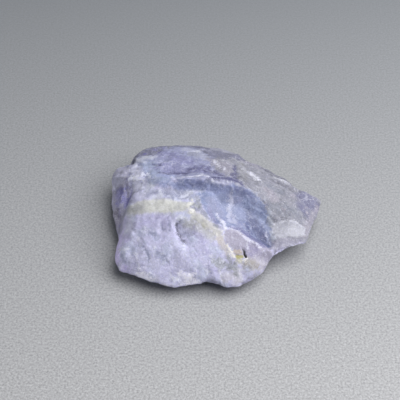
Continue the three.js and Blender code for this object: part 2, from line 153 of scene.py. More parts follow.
# the upper side behind the ledge, and the shoulder at its left
UPPER_SIDE = {
    "shoulder": Mark("shoulder", [
        [(-17.4, 8.2, 1), (-16.9, 5.6, 1.2), (-16.2, 3.4, 1.4), (-15.8, 1.2, 1.6), (-15.6, -0.8, 1.5)],
    ], ragged=1.1, soft=0.6),
    "plateau": Mark("plateau", [
        [(-14.8, 7.6, 1.4), (-13.6, 5.6, 1.9), (-13, 3.4, 1.8), (-12.6, 1.4, 1.4), (-10.6, 1, 1)],
    ], ragged=1.2, soft=0.7),
    "violet_top": Mark("plateau_violet", [
        [(-11, 10.4, 1.2), (-9.4, 9.4, 1.7), (-7.6, 7.8, 1.7), (-5.4, 6.8, 1.1)],
        [(-10, 6, 0.8), (-8, 5.4, 1)], [(-12.6, 5.4, 0.5), (-11.6, 5.9, 1), (-10.4, 6.2, 0.9)],
    ], ragged=1.2, soft=0.7, strength=0.9),
    "violet_strip": Mark("plateau_violet", [
        [(-11, 4.4, 0.8), (-8.4, 4.3, 1.2), (-5, 4.4, 1.3), (-2, 3.8, 1.2), (1, 2.6, 1.1),
         (3.4, 1.4, 0.8)],
    ], ragged=1.1, soft=0.6, strength=0.75),
    "plateau_flecks": Mark("lavender", [
        [(-14.2, 2.4, 0.3), (-13.4, 2.2, 0.2)], [(-13.6, 5, 0.25)],
        [(-12.4, 7.6, 0.3), (-11.8, 7.4, 0.2)], [(-11.2, 2.6, 0.3), (-10.4, 2.2, 0.4)],
        [(-9.8, 3.2, 0.25), (-9, 2.6, 0.3)],
    ], ragged=1.2),
    # painted light on the shoulder's front facet, which lies in shade
    "shoulder_foot": Mark("shoulder_pale_painted_light", [
        [(-17.2, 4.4, 0.5), (-16.8, 3.4, 0.7), (-16, 2.6, 0.6)],
    ], soft=0.5, strength=0.7),
    # painted shade on the shoulder's outer edge and its lower corner
    "shoulder_edge": Mark("shoulder_edge", [
        [(-18.4, 10, 0.6), (-17.6, 10.4, 0.8), (-17.4, 11.2, 0.5)],
        [(-17.4, 1, 0.5), (-17, -0.4, 1.1), (-16.8, -1.9, 1)], [(-16.2, 0.4, 0.4), (-16, -0.4, 0.6)],
    ], soft=0.5, strength=0.75),
    # painted shade in the notch at the back, which also pulls the surface in
    "back_notch": Mark("shoulder_edge", [
        [(-18.8, 12.2, 0.5), (-18.3, 11.2, 0.7), (-17.9, 10.3, 0.6)],
    ], ragged=0.3, soft=0.35, strength=0.6, height=-0.6),
    # white bruises of the shoulder, made brighter as painted light over the shade of its front facet
    "shoulder_white": Mark("bruise_and_painted_light", [
        [(-15.3, 4.1, 0.4), (-14.6, 3.8, 0.6), (-14, 3.1, 0.45)], [(-17.4, 7.8, 0.3), (-16.8, 7.6, 0.3)],
        [(-17.6, 4.3, 0.6), (-16.8, 3.9, 0.6), (-16.4, 3.4, 0.4)],
    ], ragged=1, strength=0.8),
    "pale_back": Mark("pale_back", [
        [(-6.4, 12.6, 0.8), (-4.6, 11.2, 1.5), (-3.2, 9.6, 1.5), (-2, 8.4, 0.9)],
    ], ragged=1, soft=0.5),
    "pale_glint": Mark("white", [
        [(-4.8, 11.6, 0.3), (-3.6, 11.4, 0.5)], [(-3, 9.6, 0.2)],
    ], ragged=1, strength=0.7),
    "back_rim": Mark("grey_back", [
        [(-10, 16.6, 0.6), (-8.6, 16, 0.7), (-6, 15.2, 1), (-2, 14.4, 1)],
    ], soft=0.5, strength=0.8),
    "upper_flecks": Mark("lavender", [
        [(-10.8, 10, 0.4), (-10.2, 9.2, 0.5)], [(-6.6, 5.9, 0.4), (-5.8, 5.6, 0.35)], [(-9.8, 15.2, 0.6)],
    ], ragged=1),
    "shoulder_shades": Mark("shoulder_edge", [
        [(-16.5, 6.2, 0.35), (-15.8, 5.6, 0.5)], [(-15, 2.3, 0.5), (-15, 1.3, 0.4)],
        [(-11, 3, 0.5), (-10, 2.4, 0.6)], [(-15.6, -0.4, 0.4)], [(-18.2, 9.4, 0.6), (-18, 8.2, 0.6)],
    ], ragged=1, soft=0.4, strength=0.7),
    "grey_back": Mark("grey_back", [
        [(-1.6, 11.6, 1.4), (0, 10.8, 2.1), (2, 10.8, 2.3), (4, 10.6, 1.6)],
        [(-2, 14.6, 1.6), (1, 14, 2), (5, 12, 2)],
    ], ragged=1),
    "back_pale": Mark("back_pale", [
        [(-0.4, 14.7, 0.7), (1, 14.2, 1), (2.4, 14, 1), (4, 13.4, 0.8)],
    ], ragged=0.9, soft=0.5, strength=0.7),
    "dark_back": Mark("dark_back", [
        [(-18, 11.6, 0.5), (-16.8, 12.4, 1.2), (-14.8, 12.8, 1.7), (-12.8, 12.4, 1.1)],
        [(-17.4, 15.4, 1.4), (-15, 16.2, 1.6), (-12, 16.6, 1.6), (-10.4, 16.4, 1.2)],
        [(-14, 14.4, 0.8), (-11.6, 14, 0.7), (-10.6, 14.8, 0.6)],
    ], ragged=0.9, strength=0.95, height=-0.15),
    "back_pits": Mark("left_dark", [
        [(-12.3, 11.9, 0.35), (-11.9, 12.1, 0.2)], [(-15.2, 12.4, 0.3)], [(-13.2, 14, 0.3)],
        [(-11.2, 15, 0.3)],
    ], ragged=0.9, strength=0.6),
    "knuckles": Mark("white", [
        [(-17, 10.6, 0.6), (-16, 10, 0.7), (-15, 10.2, 0.8), (-14, 9.7, 0.8), (-13.2, 9.8, 0.5)],
        [(-15.8, 8.6, 0.4), (-15, 8.2, 0.3)],
    ], ragged=0.9, soft=0.6, strength=0.7, height=0.15),
    "pink_grains": Mark("pink", [
        [(-1, 7.8, 0.8), (0.6, 6.6, 1.3), (2, 6, 1.5), (3, 4.4, 1)],
    ], ragged=1.1, soft=0.5),
    "pink_glints": Mark("grain", [
        [(-0.4, 7.6, 0.3), (0.2, 6.6, 0.4), (0.5, 5.4, 0.25)], [(1.8, 5, 0.12)], [(1.6, 7.9, 0.12)],
        [(2.6, 7.4, 0.15), (3.4, 7.8, 0.15)],
    ], ragged=1.1, strength=0.5),
    "upright_crack": Mark("streak", [
        [(4.1, 7.2, 0.2), (4.2, 6.2, 0.3), (4.2, 5, 0.4), (4.1, 3.8, 0.5), (4.1, 2.4, 0.5),
         (4.3, 1, 0.35)],
        [(3.6, 4.4, 0.3), (3.4, 3.2, 0.5)],
    ], ragged=0.8, soft=0.4, height=-0.15),
    "plateau_shade": Mark("riser", [
        [(-11.4, 2.4, 0.5), (-10, 2, 0.9), (-8.8, 1.8, 0.4)],
        [(-12.2, 0.4, 0.4), (-11, -0.1, 0.6), (-10, 0.4, 0.4)],
    ], soft=0.5, strength=0.8),
    "dark_streaks": Mark("streak", [
        [(-5.6, 4.7, 0.4), (-4.4, 4.9, 0.8), (-3, 4.7, 0.8), (-1.4, 4.3, 0.7), (0, 3.6, 0.5)],
        [(0, 3.5, 0.4), (1, 2.9, 0.5), (2.2, 2.3, 0.35), (3.4, 1.8, 0.3)],
        [(-12.4, 3.7, 0.15), (-11, 3.4, 0.35), (-9.6, 3.2, 0.3)],
        [(-9.8, 3.9, 0.2), (-8.4, 3.7, 0.35), (-7, 3.7, 0.35), (-5.4, 3.8, 0.25)],
        [(-13.4, 6.8, 0.2), (-12, 6.4, 0.25)], [(-5.4, 3.9, 0.4), (-4.4, 3.9, 0.4)],
        [(-2.6, 5.4, 0.3), (-1.2, 5.2, 0.4)],
    ], ragged=0.9, soft=0.4, strength=0.75, height=-0.08),
    "lip_shade": Mark("streak", [
        [(-1.6, 0.4, 0.3), (-0.8, 0.4, 0.6), (0.6, 0.7, 0.6), (2, 0.8, 0.8), (3.4, 0.9, 0.9),
         (4.8, 0.6, 0.6)],
        [(4.8, 0.5, 0.5), (5.8, 0, 0.25)],
    ], ragged=0.9, soft=0.4, strength=0.9),
    "lip": Mark("lip", [
        [(-9.4, 1.4, 0.15), (-8.2, 1.3, 0.3), (-7, 1.3, 0.25), (-6, 1.3, 0.2)],
        [(-5.6, 1.8, 0.12), (-4.4, 1.5, 0.25), (-3, 1.3, 0.3), (-1.8, 1.2, 0.12)],
        [(-3.8, 3, 0.12), (-2.6, 2.5, 0.15)], [(-1.4, -0.1, 0.12), (0, -0.2, 0.12)],
        [(2.4, -0.3, 0.12), (3.4, -0.4, 0.15)],
    ], height=0.04),
    "lip_line": Mark("grain", [
        [(-8, 1.7, 0.12), (-6.6, 1.6, 0.2), (-5.2, 1.6, 0.16), (-3.8, 1.7, 0.22), (-2.8, 1.8, 0.12)],
        [(-3, 1.7, 0.15), (-2.4, 1.2, 0.12), (-2, 0.9, 0.08)],
        [(-0.6, -0.2, 0.1), (0.4, -0.3, 0.14), (1.2, -0.3, 0.06), (2.2, -0.4, 0.12), (3.2, -0.5, 0.1)],
    ], ragged=0.5, soft=0.2, strength=0.55, height=0.05),
    "lip_glints": Mark("grain", [
        [(-3.4, 1.6, 0.15), (-2.4, 1.5, 0.2)], [(-0.6, 0, 0.15)], [(2.8, -0.4, 0.15)],
    ]),
}

# the blue ledge across the top, its pale lip and the terrace
LEDGE = {
    # the ledge's blue, carried down over the strip of terrace in the ledge's shadow as painted shadow
    "riser": Mark("riser", [
        [(-9, 0, 0.35), (-8, -0.1, 0.6), (-6, 0.1, 0.7), (-4, -0.1, 0.6), (-2, -0.5, 0.5)],
        [(-2, -0.6, 0.6), (-0.6, -1, 0.8), (1, -1, 0.6), (2.4, -1, 0.35), (3.6, -0.5, 0.3)],
    ], ragged=0.3, strength=0.95),
    "riser_depth": Mark("riser_deep", [
        [(-6, 0.3, 0.15), (-4.6, 0.2, 0.25), (-3, -0.1, 0.2)],
        [(4.2, -0.8, 0.2), (6, -0.8, 0.35), (7.4, -1.1, 0.2)],
    ], ragged=0.8, strength=0.5),
    "terrace": Mark("terrace", [
        [(-14.2, -1.7, 0.5), (-12.8, -1.4, 0.5), (-10.8, -1.5, 0.8), (-8, -1.8, 1), (-6, -2, 1)],
        [(-10.2, -3, 0.4), (-8.8, -3.1, 0.5)],
    ], ragged=0.6, soft=0.5),
    "terrace_white": Mark("white", [
        [(-13.4, -2.3, 0.35), (-12.2, -2.6, 0.6), (-11.4, -2.3, 0.5)], [(-11.6, -1.2, 0.4)],
        [(-7.2, -2.2, 0.3), (-5.8, -1.7, 0.6), (-5.1, -1.5, 0.5)], [(-5.7, -2.6, 0.6), (-5.5, -3.5, 0.4)],
        [(-14, 0.3, 0.3), (-13.2, -0.1, 0.45)],
    ], ragged=0.9, soft=0.4, strength=0.8),
    "terrace_line": Mark("lip", [[(-14, 0, 0.15), (-13.2, -0.5, 0.2), (-12.6, -1.1, 0.12)]], ragged=0.5),
}

# the cream vein, its branch and the glassy chip next to it
CREAM_VEIN = {
    "cream": Mark("cream", [
        [(-17.4, -3.9, 0.9), (-15.4, -4.2, 1.4), (-12.4, -4.5, 1.6), (-9, -4.9, 1.6), (-6.4, -5, 1.4)],
    ], ragged=0.35, soft=0.45, strength=1),
    "cream_foot": Mark("white", [
        [(-12.8, -6.3, 0.12), (-11, -6.5, 0.2), (-9.6, -6.6, 0.15)],
    ], ragged=0.5, strength=0.4),
    "vein_foot": Mark("face_violet", [
        [(-16.2, -6.6, 0.5), (-14.4, -7.2, 0.7), (-13, -8, 0.6)],
        [(-12.4, -7.1, 0.3), (-10.4, -7.4, 0.4)],
    ], soft=0.5, strength=0.5),
    "cream_end": Mark("cream_grey", [
        [(-18.4, -3.4, 0.6), (-17.6, -4, 1), (-15.8, -4.3, 1)],
    ], ragged=0.4, soft=0.7, strength=0.9),
    "pale_facet": Mark("facet_grey", [
        [(-6.6, -8.4, 0.6), (-4.6, -8.6, 1.1), (-2.6, -9.6, 1.1), (-1, -10.8, 0.7)],
    ], soft=0.8),
    "cream_branch": Mark("cream_branch", [
        [(-5.2, -6.4, 0.7), (-3.6, -7.6, 1), (-1.4, -8.8, 1), (0.2, -9.8, 1), (1, -10.9, 0.8)],
    ], ragged=0.6, soft=0.5, strength=0.95),
    "branch_side": Mark("branch_side", [
        [(-3.9, -2.4, 0.5), (-3.9, -3.8, 0.6), (-3.5, -5.2, 0.7), (-2.5, -6.4, 0.6), (-1.5, -7.5, 0.5)],
        [(-5.4, -5.5, 0.35), (-4.2, -6, 0.6)], [(0.2, -8.6, 0.4), (0.9, -8.8, 0.5)],
    ], ragged=0.8, soft=0.4),
    "branch_yellow": Mark("cream_yellow", [[(-3, -8.8, 0.3), (-2.2, -9.3, 0.3)]], soft=0.5, strength=0.5),
    "branch_pale": Mark("cream", [[(-4.8, -7.4, 0.4), (-3.4, -7.9, 0.5)]], soft=0.5),
    "branch_end": Mark("cream_white", [
        [(1.3, -9.7, 0.25), (1.6, -10.3, 0.35), (1.5, -10.9, 0.2)], [(0.2, -10.6, 0.2)],
    ], ragged=1, strength=0.7),
    "branch_foot": Mark("beige_pink", [
        [(0.9, -11.2, 0.8), (1.4, -12, 0.7), (1.9, -12.8, 0.6), (2.2, -13.8, 0.4)],
    ], soft=0.4),
    "pocket": Mark("pocket", [
        [(-5, -4.4, 0.3), (-4.5, -5, 0.5), (-3.8, -5, 0.5), (-3.4, -4.3, 0.35)],
    ], ragged=0.9, soft=0.25, height=-0.2),
    "knot": Mark("cream_white", [
        [(-5.6, -4.4, 0.15), (-5.9, -5.2, 0.25), (-5.7, -6.1, 0.35), (-4.8, -6.5, 0.3)],
        [(-5.2, -3.1, 0.25), (-5, -3.8, 0.2), (-5.4, -4.4, 0.15)],
    ], ragged=0.8, soft=0.25, height=0.08),
}

# the pale front face, its pit and the lower rim
FRONT_FACE = {
    "face_violet": Mark("face_violet", [
        [(-11, -7.8, 0.6), (-10.4, -8.8, 0.6)], [(-12.8, -6.9, 0.4), (-11.6, -7.1, 0.5)],
        [(-18.8, -8.8, 0.5), (-18.4, -10, 0.4)], [(-16.6, -7.6, 0.5), (-15.4, -8, 0.4)],
        [(-9.8, -8.8, 0.5), (-9.5, -9.8, 0.5)], [(-2, -13.4, 0.5), (-1.5, -13.8, 0.3)],
        [(-0.6, -16.2, 0.5), (0.2, -16.4, 0.4)], [(-4.4, -10, 0.4), (-3.2, -10.8, 0.5), (-2.6, -12, 0.3)],
    ], ragged=1.3, soft=0.35, strength=0.65),
    "face_blue": Mark("face_blue", [
        [(-14, -9.6, 0.5), (-13, -10.4, 0.7), (-12.2, -10.8, 0.5)],
        [(-15, -12.2, 0.25), (-14.4, -13, 0.35), (-13.9, -14.2, 0.3)],
        [(-19.4, -12.8, 0.45), (-18.8, -13.8, 0.5)], [(-11.8, -13.8, 0.4), (-10.6, -14.2, 0.3)],
        [(-9.6, -9, 0.3), (-9.4, -9.8, 0.4)],
    ], ragged=1.2, strength=0.65),
    "face_corner": Mark("band", [
        [(-19.6, -14.8, 0.7), (-18.4, -15.8, 0.6)],
    ], ragged=0.9, soft=0.6, strength=0.7),
    "face_rim": Mark("rim", [[(-14, -18, 0.8), (-10, -19, 0.8)]], ragged=1, soft=0.7, strength=0.8),
    # painted light along the lower rim, where the surface turns down into shade
    "rim_painted_light": Mark("rim_painted_light", [
        [(-16.6, -16.2, 0.4), (-15, -16.6, 0.8), (-13.8, -17.2, 0.5)],
        [(-8, -16.8, 0.3), (-6.6, -17.4, 0.7), (-4.6, -18, 0.7)],
    ], ragged=1.2, soft=0.6),
    "face_glints": Mark("grain", [
        [(-18.7, -7.4, 0.25)], [(-14.8, -9, 0.25), (-14.2, -9.4, 0.2)], [(-16.2, -10.4, 0.2)],
        [(-20, -11, 0.2), (-19.2, -11.6, 0.3), (-18.4, -11.8, 0.2)],
        [(-20, -14.2, 0.25), (-19.9, -15, 0.22)], [(-12.8, -12.4, 0.3)],
        [(-16.6, -13.4, 0.2), (-16.2, -14.2, 0.2)], [(-6.6, -12.6, 0.2)],
        [(-9.2, -17, 0.3), (-8.2, -17.6, 0.4), (-7.4, -18, 0.3)], [(-11, -13.2, 0.2)],
    ], ragged=0.9, strength=0.75, height=0.05),
    "pit_bank": Mark("white", [
        [(-8.5, -7.4, 0.4), (-8.6, -8.4, 0.2)], [(-7.8, -7.9, 0.4), (-7.2, -8.2, 0.4)],
    ], ragged=0.8),
    "pit_floor": Mark("pit", [
        [(-7.4, -8.8, 0.4), (-6.8, -10, 0.6), (-5.8, -10.6, 0.4)],
    ], ragged=1, strength=0.7),
    "pit": Mark("pit_deep", [
        [(-8.1, -8.6, 0.15), (-8, -9.3, 0.25)],
        [(-7.6, -10.4, 0.25), (-7, -11.2, 0.4), (-6.4, -11.6, 0.3)],
    ], ragged=0.9, soft=0.35, strength=1, height=-0.2),
    "face_cracks": Mark("face_crack", [
        [(-15, -12.2, 0.12), (-14.3, -13.3, 0.2), (-13.7, -14.4, 0.15)],
        [(-11.5, -8.3, 0.15), (-11, -9.4, 0.22)], [(-13.8, -9.7, 0.15), (-12.8, -10.5, 0.2)],
        [(-17.4, -8.2, 0.12), (-16.8, -9, 0.15)], [(-4.8, -12.6, 0.12), (-4, -13.6, 0.2)],
        [(-10.6, -14.4, 0.15), (-9.8, -15.2, 0.12)],
    ], ragged=0.5, soft=0.25, strength=0.6, height=-0.08),
}

# the hollow blue scoop
SCOOP = {
    "scoop": Mark("scoop", [
        [(-1.8, -2.2, 0.9), (0.8, -3.2, 2.3), (3.8, -4.2, 3.8), (6.6, -4.6, 4.2), (8.6, -6.8, 2.9),
         (10.4, -9.2, 1.2)],
        [(-2.2, -3.2, 1.1), (-1, -5.4, 1.3), (0.6, -7.2, 1.1), (2.4, -7.8, 1)],
    ], ragged=0.5, soft=0.35, strength=0.95),
    "scoop_left": Mark("scoop_pale", [
        [(-1.6, -2.4, 0.7), (-0.4, -3.6, 0.9), (0.8, -5.2, 0.9), (2, -6.8, 0.6)],
    ], ragged=0.9, soft=0.6, strength=0.5),
    "scoop_upper": Mark("scoop_blue", [
        [(5, -1.9, 0.5), (7.4, -1.9, 0.8), (9, -2.6, 0.9), (10, -4, 0.8)],
    ], ragged=1, soft=0.7),
    "scoop_deep": Mark("scoop_deep", [
        [(7.2, -4.8, 0.8), (8.6, -6, 1.2), (9.8, -7.4, 1.2), (10.6, -9, 0.9)],
        [(9.4, -8.6, 0.7), (10.4, -9.8, 0.7)], [(5.8, -8.4, 0.4), (7.4, -9, 0.6)],
        [(6.7, -3.4, 0.4), (7.2, -3.8, 0.5)], [(6.4, -6.6, 0.6), (7, -7.4, 0.9)],
    ], ragged=0.9, soft=0.8, strength=0.9),
    "scoop_dark": Mark("streak", [
        [(10.4, -2.4, 0.25)], [(8.8, -9, 0.3), (9.6, -9.4, 0.3)], [(10.3, -6.8, 0.3), (10.5, -7.8, 0.3)],
    ], ragged=1, strength=0.5),
    "scoop_grey": Mark("scoop_grey", [
        [(-4.4, -1.8, 0.3), (-3.4, -1.8, 0.6), (-2.2, -1.8, 0.6), (-1, -1.5, 0.5)],
        [(-3, -2.6, 0.6), (-2.8, -3.6, 0.4)],
    ], soft=0.5),
    "scoop_pale": Mark("scoop_pale", [
        [(3.2, -4.6, 0.5), (3.6, -6, 0.9), (4.4, -6.9, 0.8), (5.4, -6.8, 0.4)],
        [(2.7, -1.2, 0.5), (4, -1.9, 0.3), (5.2, -1.7, 0.4)], [(7.9, -1.9, 0.45)],
    ], ragged=1.3, soft=0.5, strength=0.8),
    "violet_facet": Mark("violet_facet", [
        [(-1.4, -4.6, 0.4), (-1, -5.8, 0.6), (-0.2, -7.2, 0.4), (0.3, -8, 0.2)],
    ], ragged=0.4),
    "streak_up": Mark("lip", [
        [(3.3, -0.9, 0.3), (3.4, -1.6, 0.35), (3.2, -2.6, 0.2)],
        [(2.8, -3, 0.25), (2.7, -4.2, 0.35), (2.4, -5, 0.2)],
        [(2.6, -5.2, 0.4), (2.9, -6.2, 0.6), (3.2, -7, 0.3)],
        [(3.7, -5.4, 0.3), (3.9, -6.2, 0.5), (4.1, -7, 0.35)],
    ], strength=0.8, height=0.05),
    "streak_down": Mark("grain", [
        [(0.2, -5.4, 0.12), (0.5, -6, 0.35), (1, -6.9, 0.5), (1.5, -7.8, 0.35), (1.9, -9, 0.4)],
    ], ragged=0.6, height=0.06),
    "scoop_line": Mark("lip", [[(10.5, -6.4, 0.1), (10.8, -7.8, 0.14), (11.5, -9.4, 0.1)]], ragged=0.4),
}

# the pinkish lobe, the ridge above it and the small spots
LOBE = {
    "lobe": Mark("lobe", [
        [(2.6, -10, 0.9), (3.4, -10.6, 1.8), (5, -11.2, 2.1), (7.6, -12.2, 2.3), (9.8, -12.8, 2.2),
         (11, -13.1, 1.4)],
    ], ragged=0.35, strength=1),
    "lobe_violet": Mark("lobe_violet", [
        [(6.9, -12, 0.6), (8, -12.3, 0.8), (9, -12.5, 0.4)], [(7, -11, 0.4), (8.6, -11.6, 0.3)],
        [(7, -13.4, 0.7)],
    ], ragged=0.8, soft=0.6, strength=0.75),
    "lobe_low": Mark("rim", [[(1.6, -17.4, 0.8), (4.4, -17, 1.2)]], ragged=0.9, soft=0.6),
    "lobe_light": Mark("rim", [
        [(8.4, -14.2, 0.5), (9.2, -14.4, 0.7), (9.8, -13.6, 0.5)],
    ], ragged=0.8, soft=0.5),
    # painted shade along the lower edge, which also pulls the outline in
    "lobe_foot": Mark("wing_foot", [
        [(5.6, -18.5, 0.4), (6.6, -18.1, 0.6), (7.8, -17.4, 0.5), (9, -16.4, 0.4)],
        [(-2.6, -18.4, 0.5), (-1.2, -18.5, 0.8), (0.6, -18.9, 0.5)],
    ], ragged=0.4, soft=0.4, strength=0.8, height=-0.35),
    "beige": Mark("beige", [
        [(5.8, -15.3, 0.6), (6.4, -15, 0.7), (7.6, -15.1, 0.9), (8.2, -15.1, 0.7)],
    ], soft=0.7, strength=0.8),
    "grey_patch": Mark("pocket", [
        [(-0.6, -14.8, 0.5), (1.2, -15.2, 0.9), (3, -15.6, 1), (3.8, -16.4, 0.6)], [(2.4, -14.4, 0.6)],
    ], ragged=1.4, soft=0.5, strength=0.8),
    "low_glints": Mark("grain", [
        [(2.4, -16.6, 0.3)], [(-0.9, -14.4, 0.35)], [(-2, -15.8, 0.25), (-1.7, -16.8, 0.35)],
        [(0.9, -17.1, 0.25)], [(1.4, -14.6, 0.25)],
        [(4.9, -15, 0.15), (5, -16.2, 0.2), (5.2, -17.2, 0.15)],
    ], ragged=0.8, strength=0.75),
    # the ridge's own blue-violet, laid darker as painted shade over the light the crest catches
    "ridge_shade": Mark("ridge_shade", [
        [(2.6, -8.3, 0.2), (4, -8.6, 0.35), (5.4, -8.6, 0.6), (6.6, -9.1, 0.7)],
        [(6.6, -9.3, 0.6), (7.6, -9.9, 0.8), (8.6, -10.4, 0.85), (9.8, -11.1, 0.6)],
    ], ragged=0.5, strength=0.9),
    "white_edge": Mark("grain", [
        [(2.8, -8.6, 0.1), (4, -9, 0.18), (5, -9.4, 0.15)],
        [(5.6, -10, 0.2), (6.4, -10.7, 0.5), (7.1, -11, 0.3)],
        [(7.4, -10.8, 0.15), (8.2, -11.2, 0.25), (9.2, -11.7, 0.18), (10, -12.1, 0.2)],
        [(6.4, -11.2, 0.15), (6.5, -12.1, 0.12)],
    ], ragged=0.8, soft=0.2, strength=0.62, height=0.06),
    "lens": Mark("lens", [[(3.8, -13.2, 0.4), (4.8, -13.2, 0.5)]], ragged=0.3, soft=0.2, height=0.1),
    "loop": Mark("loop_white", [
        [(2.2, -12, 0.15), (2.7, -12.8, 0.3), (3.3, -13.7, 0.3), (3.9, -14.4, 0.16), (4.8, -14.9, 0.1),
         (5.6, -14.8, 0.16), (6.1, -14.4, 0.16)],
    ], ragged=0.75, soft=0.2, strength=0.9, height=0.06),
    "lens_foot": Mark("cream_yellow", [
        [(4.2, -14.6, 0.25), (5.2, -15.1, 0.3)],
    ], ragged=0.5, strength=0.7),
    "green_spot": Mark("green", [[(4.2, -14, 0.22), (5.3, -14.1, 0.36)]], ragged=0.3, soft=0.2),
    "black_crack": Mark("black", [
        [(5.4, -12.4, 0.12), (5.8, -12.9, 0.18), (5.8, -13.5, 0.18), (6.1, -14, 0.24)],
    ], ragged=0.08, soft=0.08, strength=1, height=-0.5),
}

# the wing to the right, its tip and the white patch
WING = {
    "wing_grey": Mark("wing_grey", [
        [(11.6, -2, 0.8), (14.6, -2.4, 1.3), (17, -2.8, 1)], [(11, 3, 0.6), (14, 2, 0.7)],
    ], ragged=1.3, soft=0.6, strength=0.8),
    "wing_rim": Mark("wing_dark", [
        [(9, 8.6, 0.3), (11, 7.8, 0.5), (13, 6.9, 0.7), (15, 6, 0.5), (17, 4.8, 0.4), (19.2, 2.6, 0.6)],
        [(7, 4.6, 0.3), (7.8, 4, 0.2)],
    ], soft=0.4, strength=0.75),
    # dark lines of the wing; the short second line is a painted shadow under the overhanging edge above the
    # white patch
    "wing_lines": Mark("wing_dark", [
        [(12, 5, 0.25), (13.4, 4.4, 0.45), (15, 3.8, 0.5), (17, 3.2, 0.45), (18.4, 3.3, 0.4)],
        [(13, -4.3, 0.15), (13.8, -4.5, 0.15)], [(14.4, -2.6, 0.15), (15.6, -3.4, 0.2)],
    ], strength=0.6),
    "tip_edge": Mark("wing_pale", [
        [(18.6, 3.8, 0.2), (20, 3.4, 0.3), (21.8, 2.8, 0.5)],
    ], soft=0.4, strength=0.5),
    "tip": Mark("violet", [
        [(17.8, 2.2, 0.8), (19, 2.1, 1.6), (20.2, 0.8, 1.8), (21.2, 0.4, 1.4)],
        [(18, -0.4, 0.9), (19.4, -1.6, 1), (20, -3, 0.7)],
    ], soft=0.9, strength=1),
    "tip_lines": Mark("wing_pale", [
        [(19.2, -0.6, 0.12), (19.6, -2, 0.15)], [(21.4, 0.6, 0.4), (21.4, -0.4, 0.4)],
    ], strength=0.8),
    "tip_foot": Mark("wing_pale", [
        [(20.6, -1.4, 0.5), (20, -3, 0.7), (19.2, -5, 0.8), (18.4, -7, 0.6)],
    ], soft=0.5, strength=0.7),
    "wing_wedge": Mark("wing_pale", [
        [(10.4, 1.6, 0.5), (11.4, 0.8, 0.9), (12.2, -0.1, 0.9)], [(14, -1.8, 0.2), (14.4, -2.6, 0.2)],
        [(16.6, 1.7, 0.5)],
    ], ragged=1, strength=0.75),
    "wing_edge": Mark("lip", [
        [(5.8, -0.2, 0.1), (6.8, -0.2, 0.12), (8.4, -0.6, 0.15)],
    ], ragged=1, strength=0.5),
    "wing_root": Mark("wing_root", [[(5.4, 8.2, 0.8), (6.2, 5, 1), (6, 2.4, 0.9)]], ragged=1, soft=0.5),
    "root_shade": Mark("wing_dark", [
        [(5.2, 3, 0.4), (6, 2.2, 0.7), (7, 1.3, 0.5)],
    ], soft=0.5, strength=0.55),
    "wing_streaks": Mark("wing_light", [
        [(6, 6.6, 0.3), (7.4, 5.6, 0.5), (8.8, 4.2, 0.5), (9.6, 3.6, 0.3)],
        [(12.6, 6.2, 0.2), (14.4, 5.3, 0.4), (15.6, 4.8, 0.2)],
    ], ragged=0.8, soft=0.4, height=0.1),
    "wing_glints": Mark("grain", [
        [(7, 6, 0.1), (8.2, 4.8, 0.12), (9, 3.8, 0.3)], [(13.8, 5.6, 0.1), (14.8, 5.2, 0.1)],
    ], strength=0.6),
    "rim_glints": Mark("pink", [[(5.6, 10, 0.6), (7, 9.6, 0.5)], [(7.8, 8.8, 0.5), (9.2, 8.3, 0.4)]]),
    "below_patch": Mark("below_patch", [
        [(10.8, -10.8, 0.9), (12, -9.6, 1.3), (15, -8.8, 0.9), (17.6, -8.4, 0.6)],
    ], soft=0.4),
    "patch_left": Mark("patch_grey", [
        [(11.2, -3.4, 0.5), (11.3, -5.2, 0.7), (11.5, -6.8, 0.6), (12, -8, 0.5)],
    ], soft=0.5),
    "white_patch": Mark("white_patch", [
        [(12.6, -6, 0.9), (14.2, -6, 1.3), (16.4, -6, 1.4), (17.8, -5.9, 1.1)],
        [(13.4, -6.8, 1), (16.6, -6.9, 0.7)],
    ], ragged=0.4, soft=0.25, strength=1, height=0.08),
    "patch_rim": Mark("grain", [
        [(12, -5.3, 0.12), (13, -5, 0.12)], [(15, -4.7, 0.1), (16.8, -4.8, 0.15), (18, -5.1, 0.1)],
    ], ragged=0.6, strength=0.3),
    # painted shade along the wing's lower edge, which also pulls the outline in
    "wing_foot": Mark("wing_foot", [
        [(12.8, -11.1, 0.5), (14, -10.7, 0.6), (15.4, -10.2, 0.5)],
    ], ragged=0.4, soft=0.4, height=-0.35),
}

# every mark, in the order in which they are laid
MARKS = {**BROAD, **LEFT_END, **WING, **UPPER_SIDE, **SCOOP, **LEDGE, **CREAM_VEIN, **FRONT_FACE, **LOBE}

# marks whose place is smoother than the rest, with the share of the fine relief that goes
CALM = {"pale_facet": 0.5, "scoop": 0.35, "white_patch": 0.9, "cream": 0.6, "lobe": 0.6, "tip": 0.6}
CALM_SOFT = 0.6  # how far the calm fades out at a mark's edge, in mm

# lines where the solid's creases are worn right off
WORN = [
    [(-8.3, -11, 0.8), (-7.4, -12.6, 1), (-6.6, -14, 1)],
    [(12.4, -5.3, 0.6), (15, -5, 0.8), (17.8, -5, 0.7)],
]
WORN_SOFT = 0.5  # how far the wear fades out, in mm

# marks whose place is broken into low steps, with the steps' rise across the plan in turns for each mm
STEPPED = {"upper_side": (0.15, 0.8), "wing_side": (0.4, 0.6), "left_flank": (-0.6, 0.5)}
STEPPED_SOFT = 1.2  # how far the steps fade out at a mark's edge, in mm


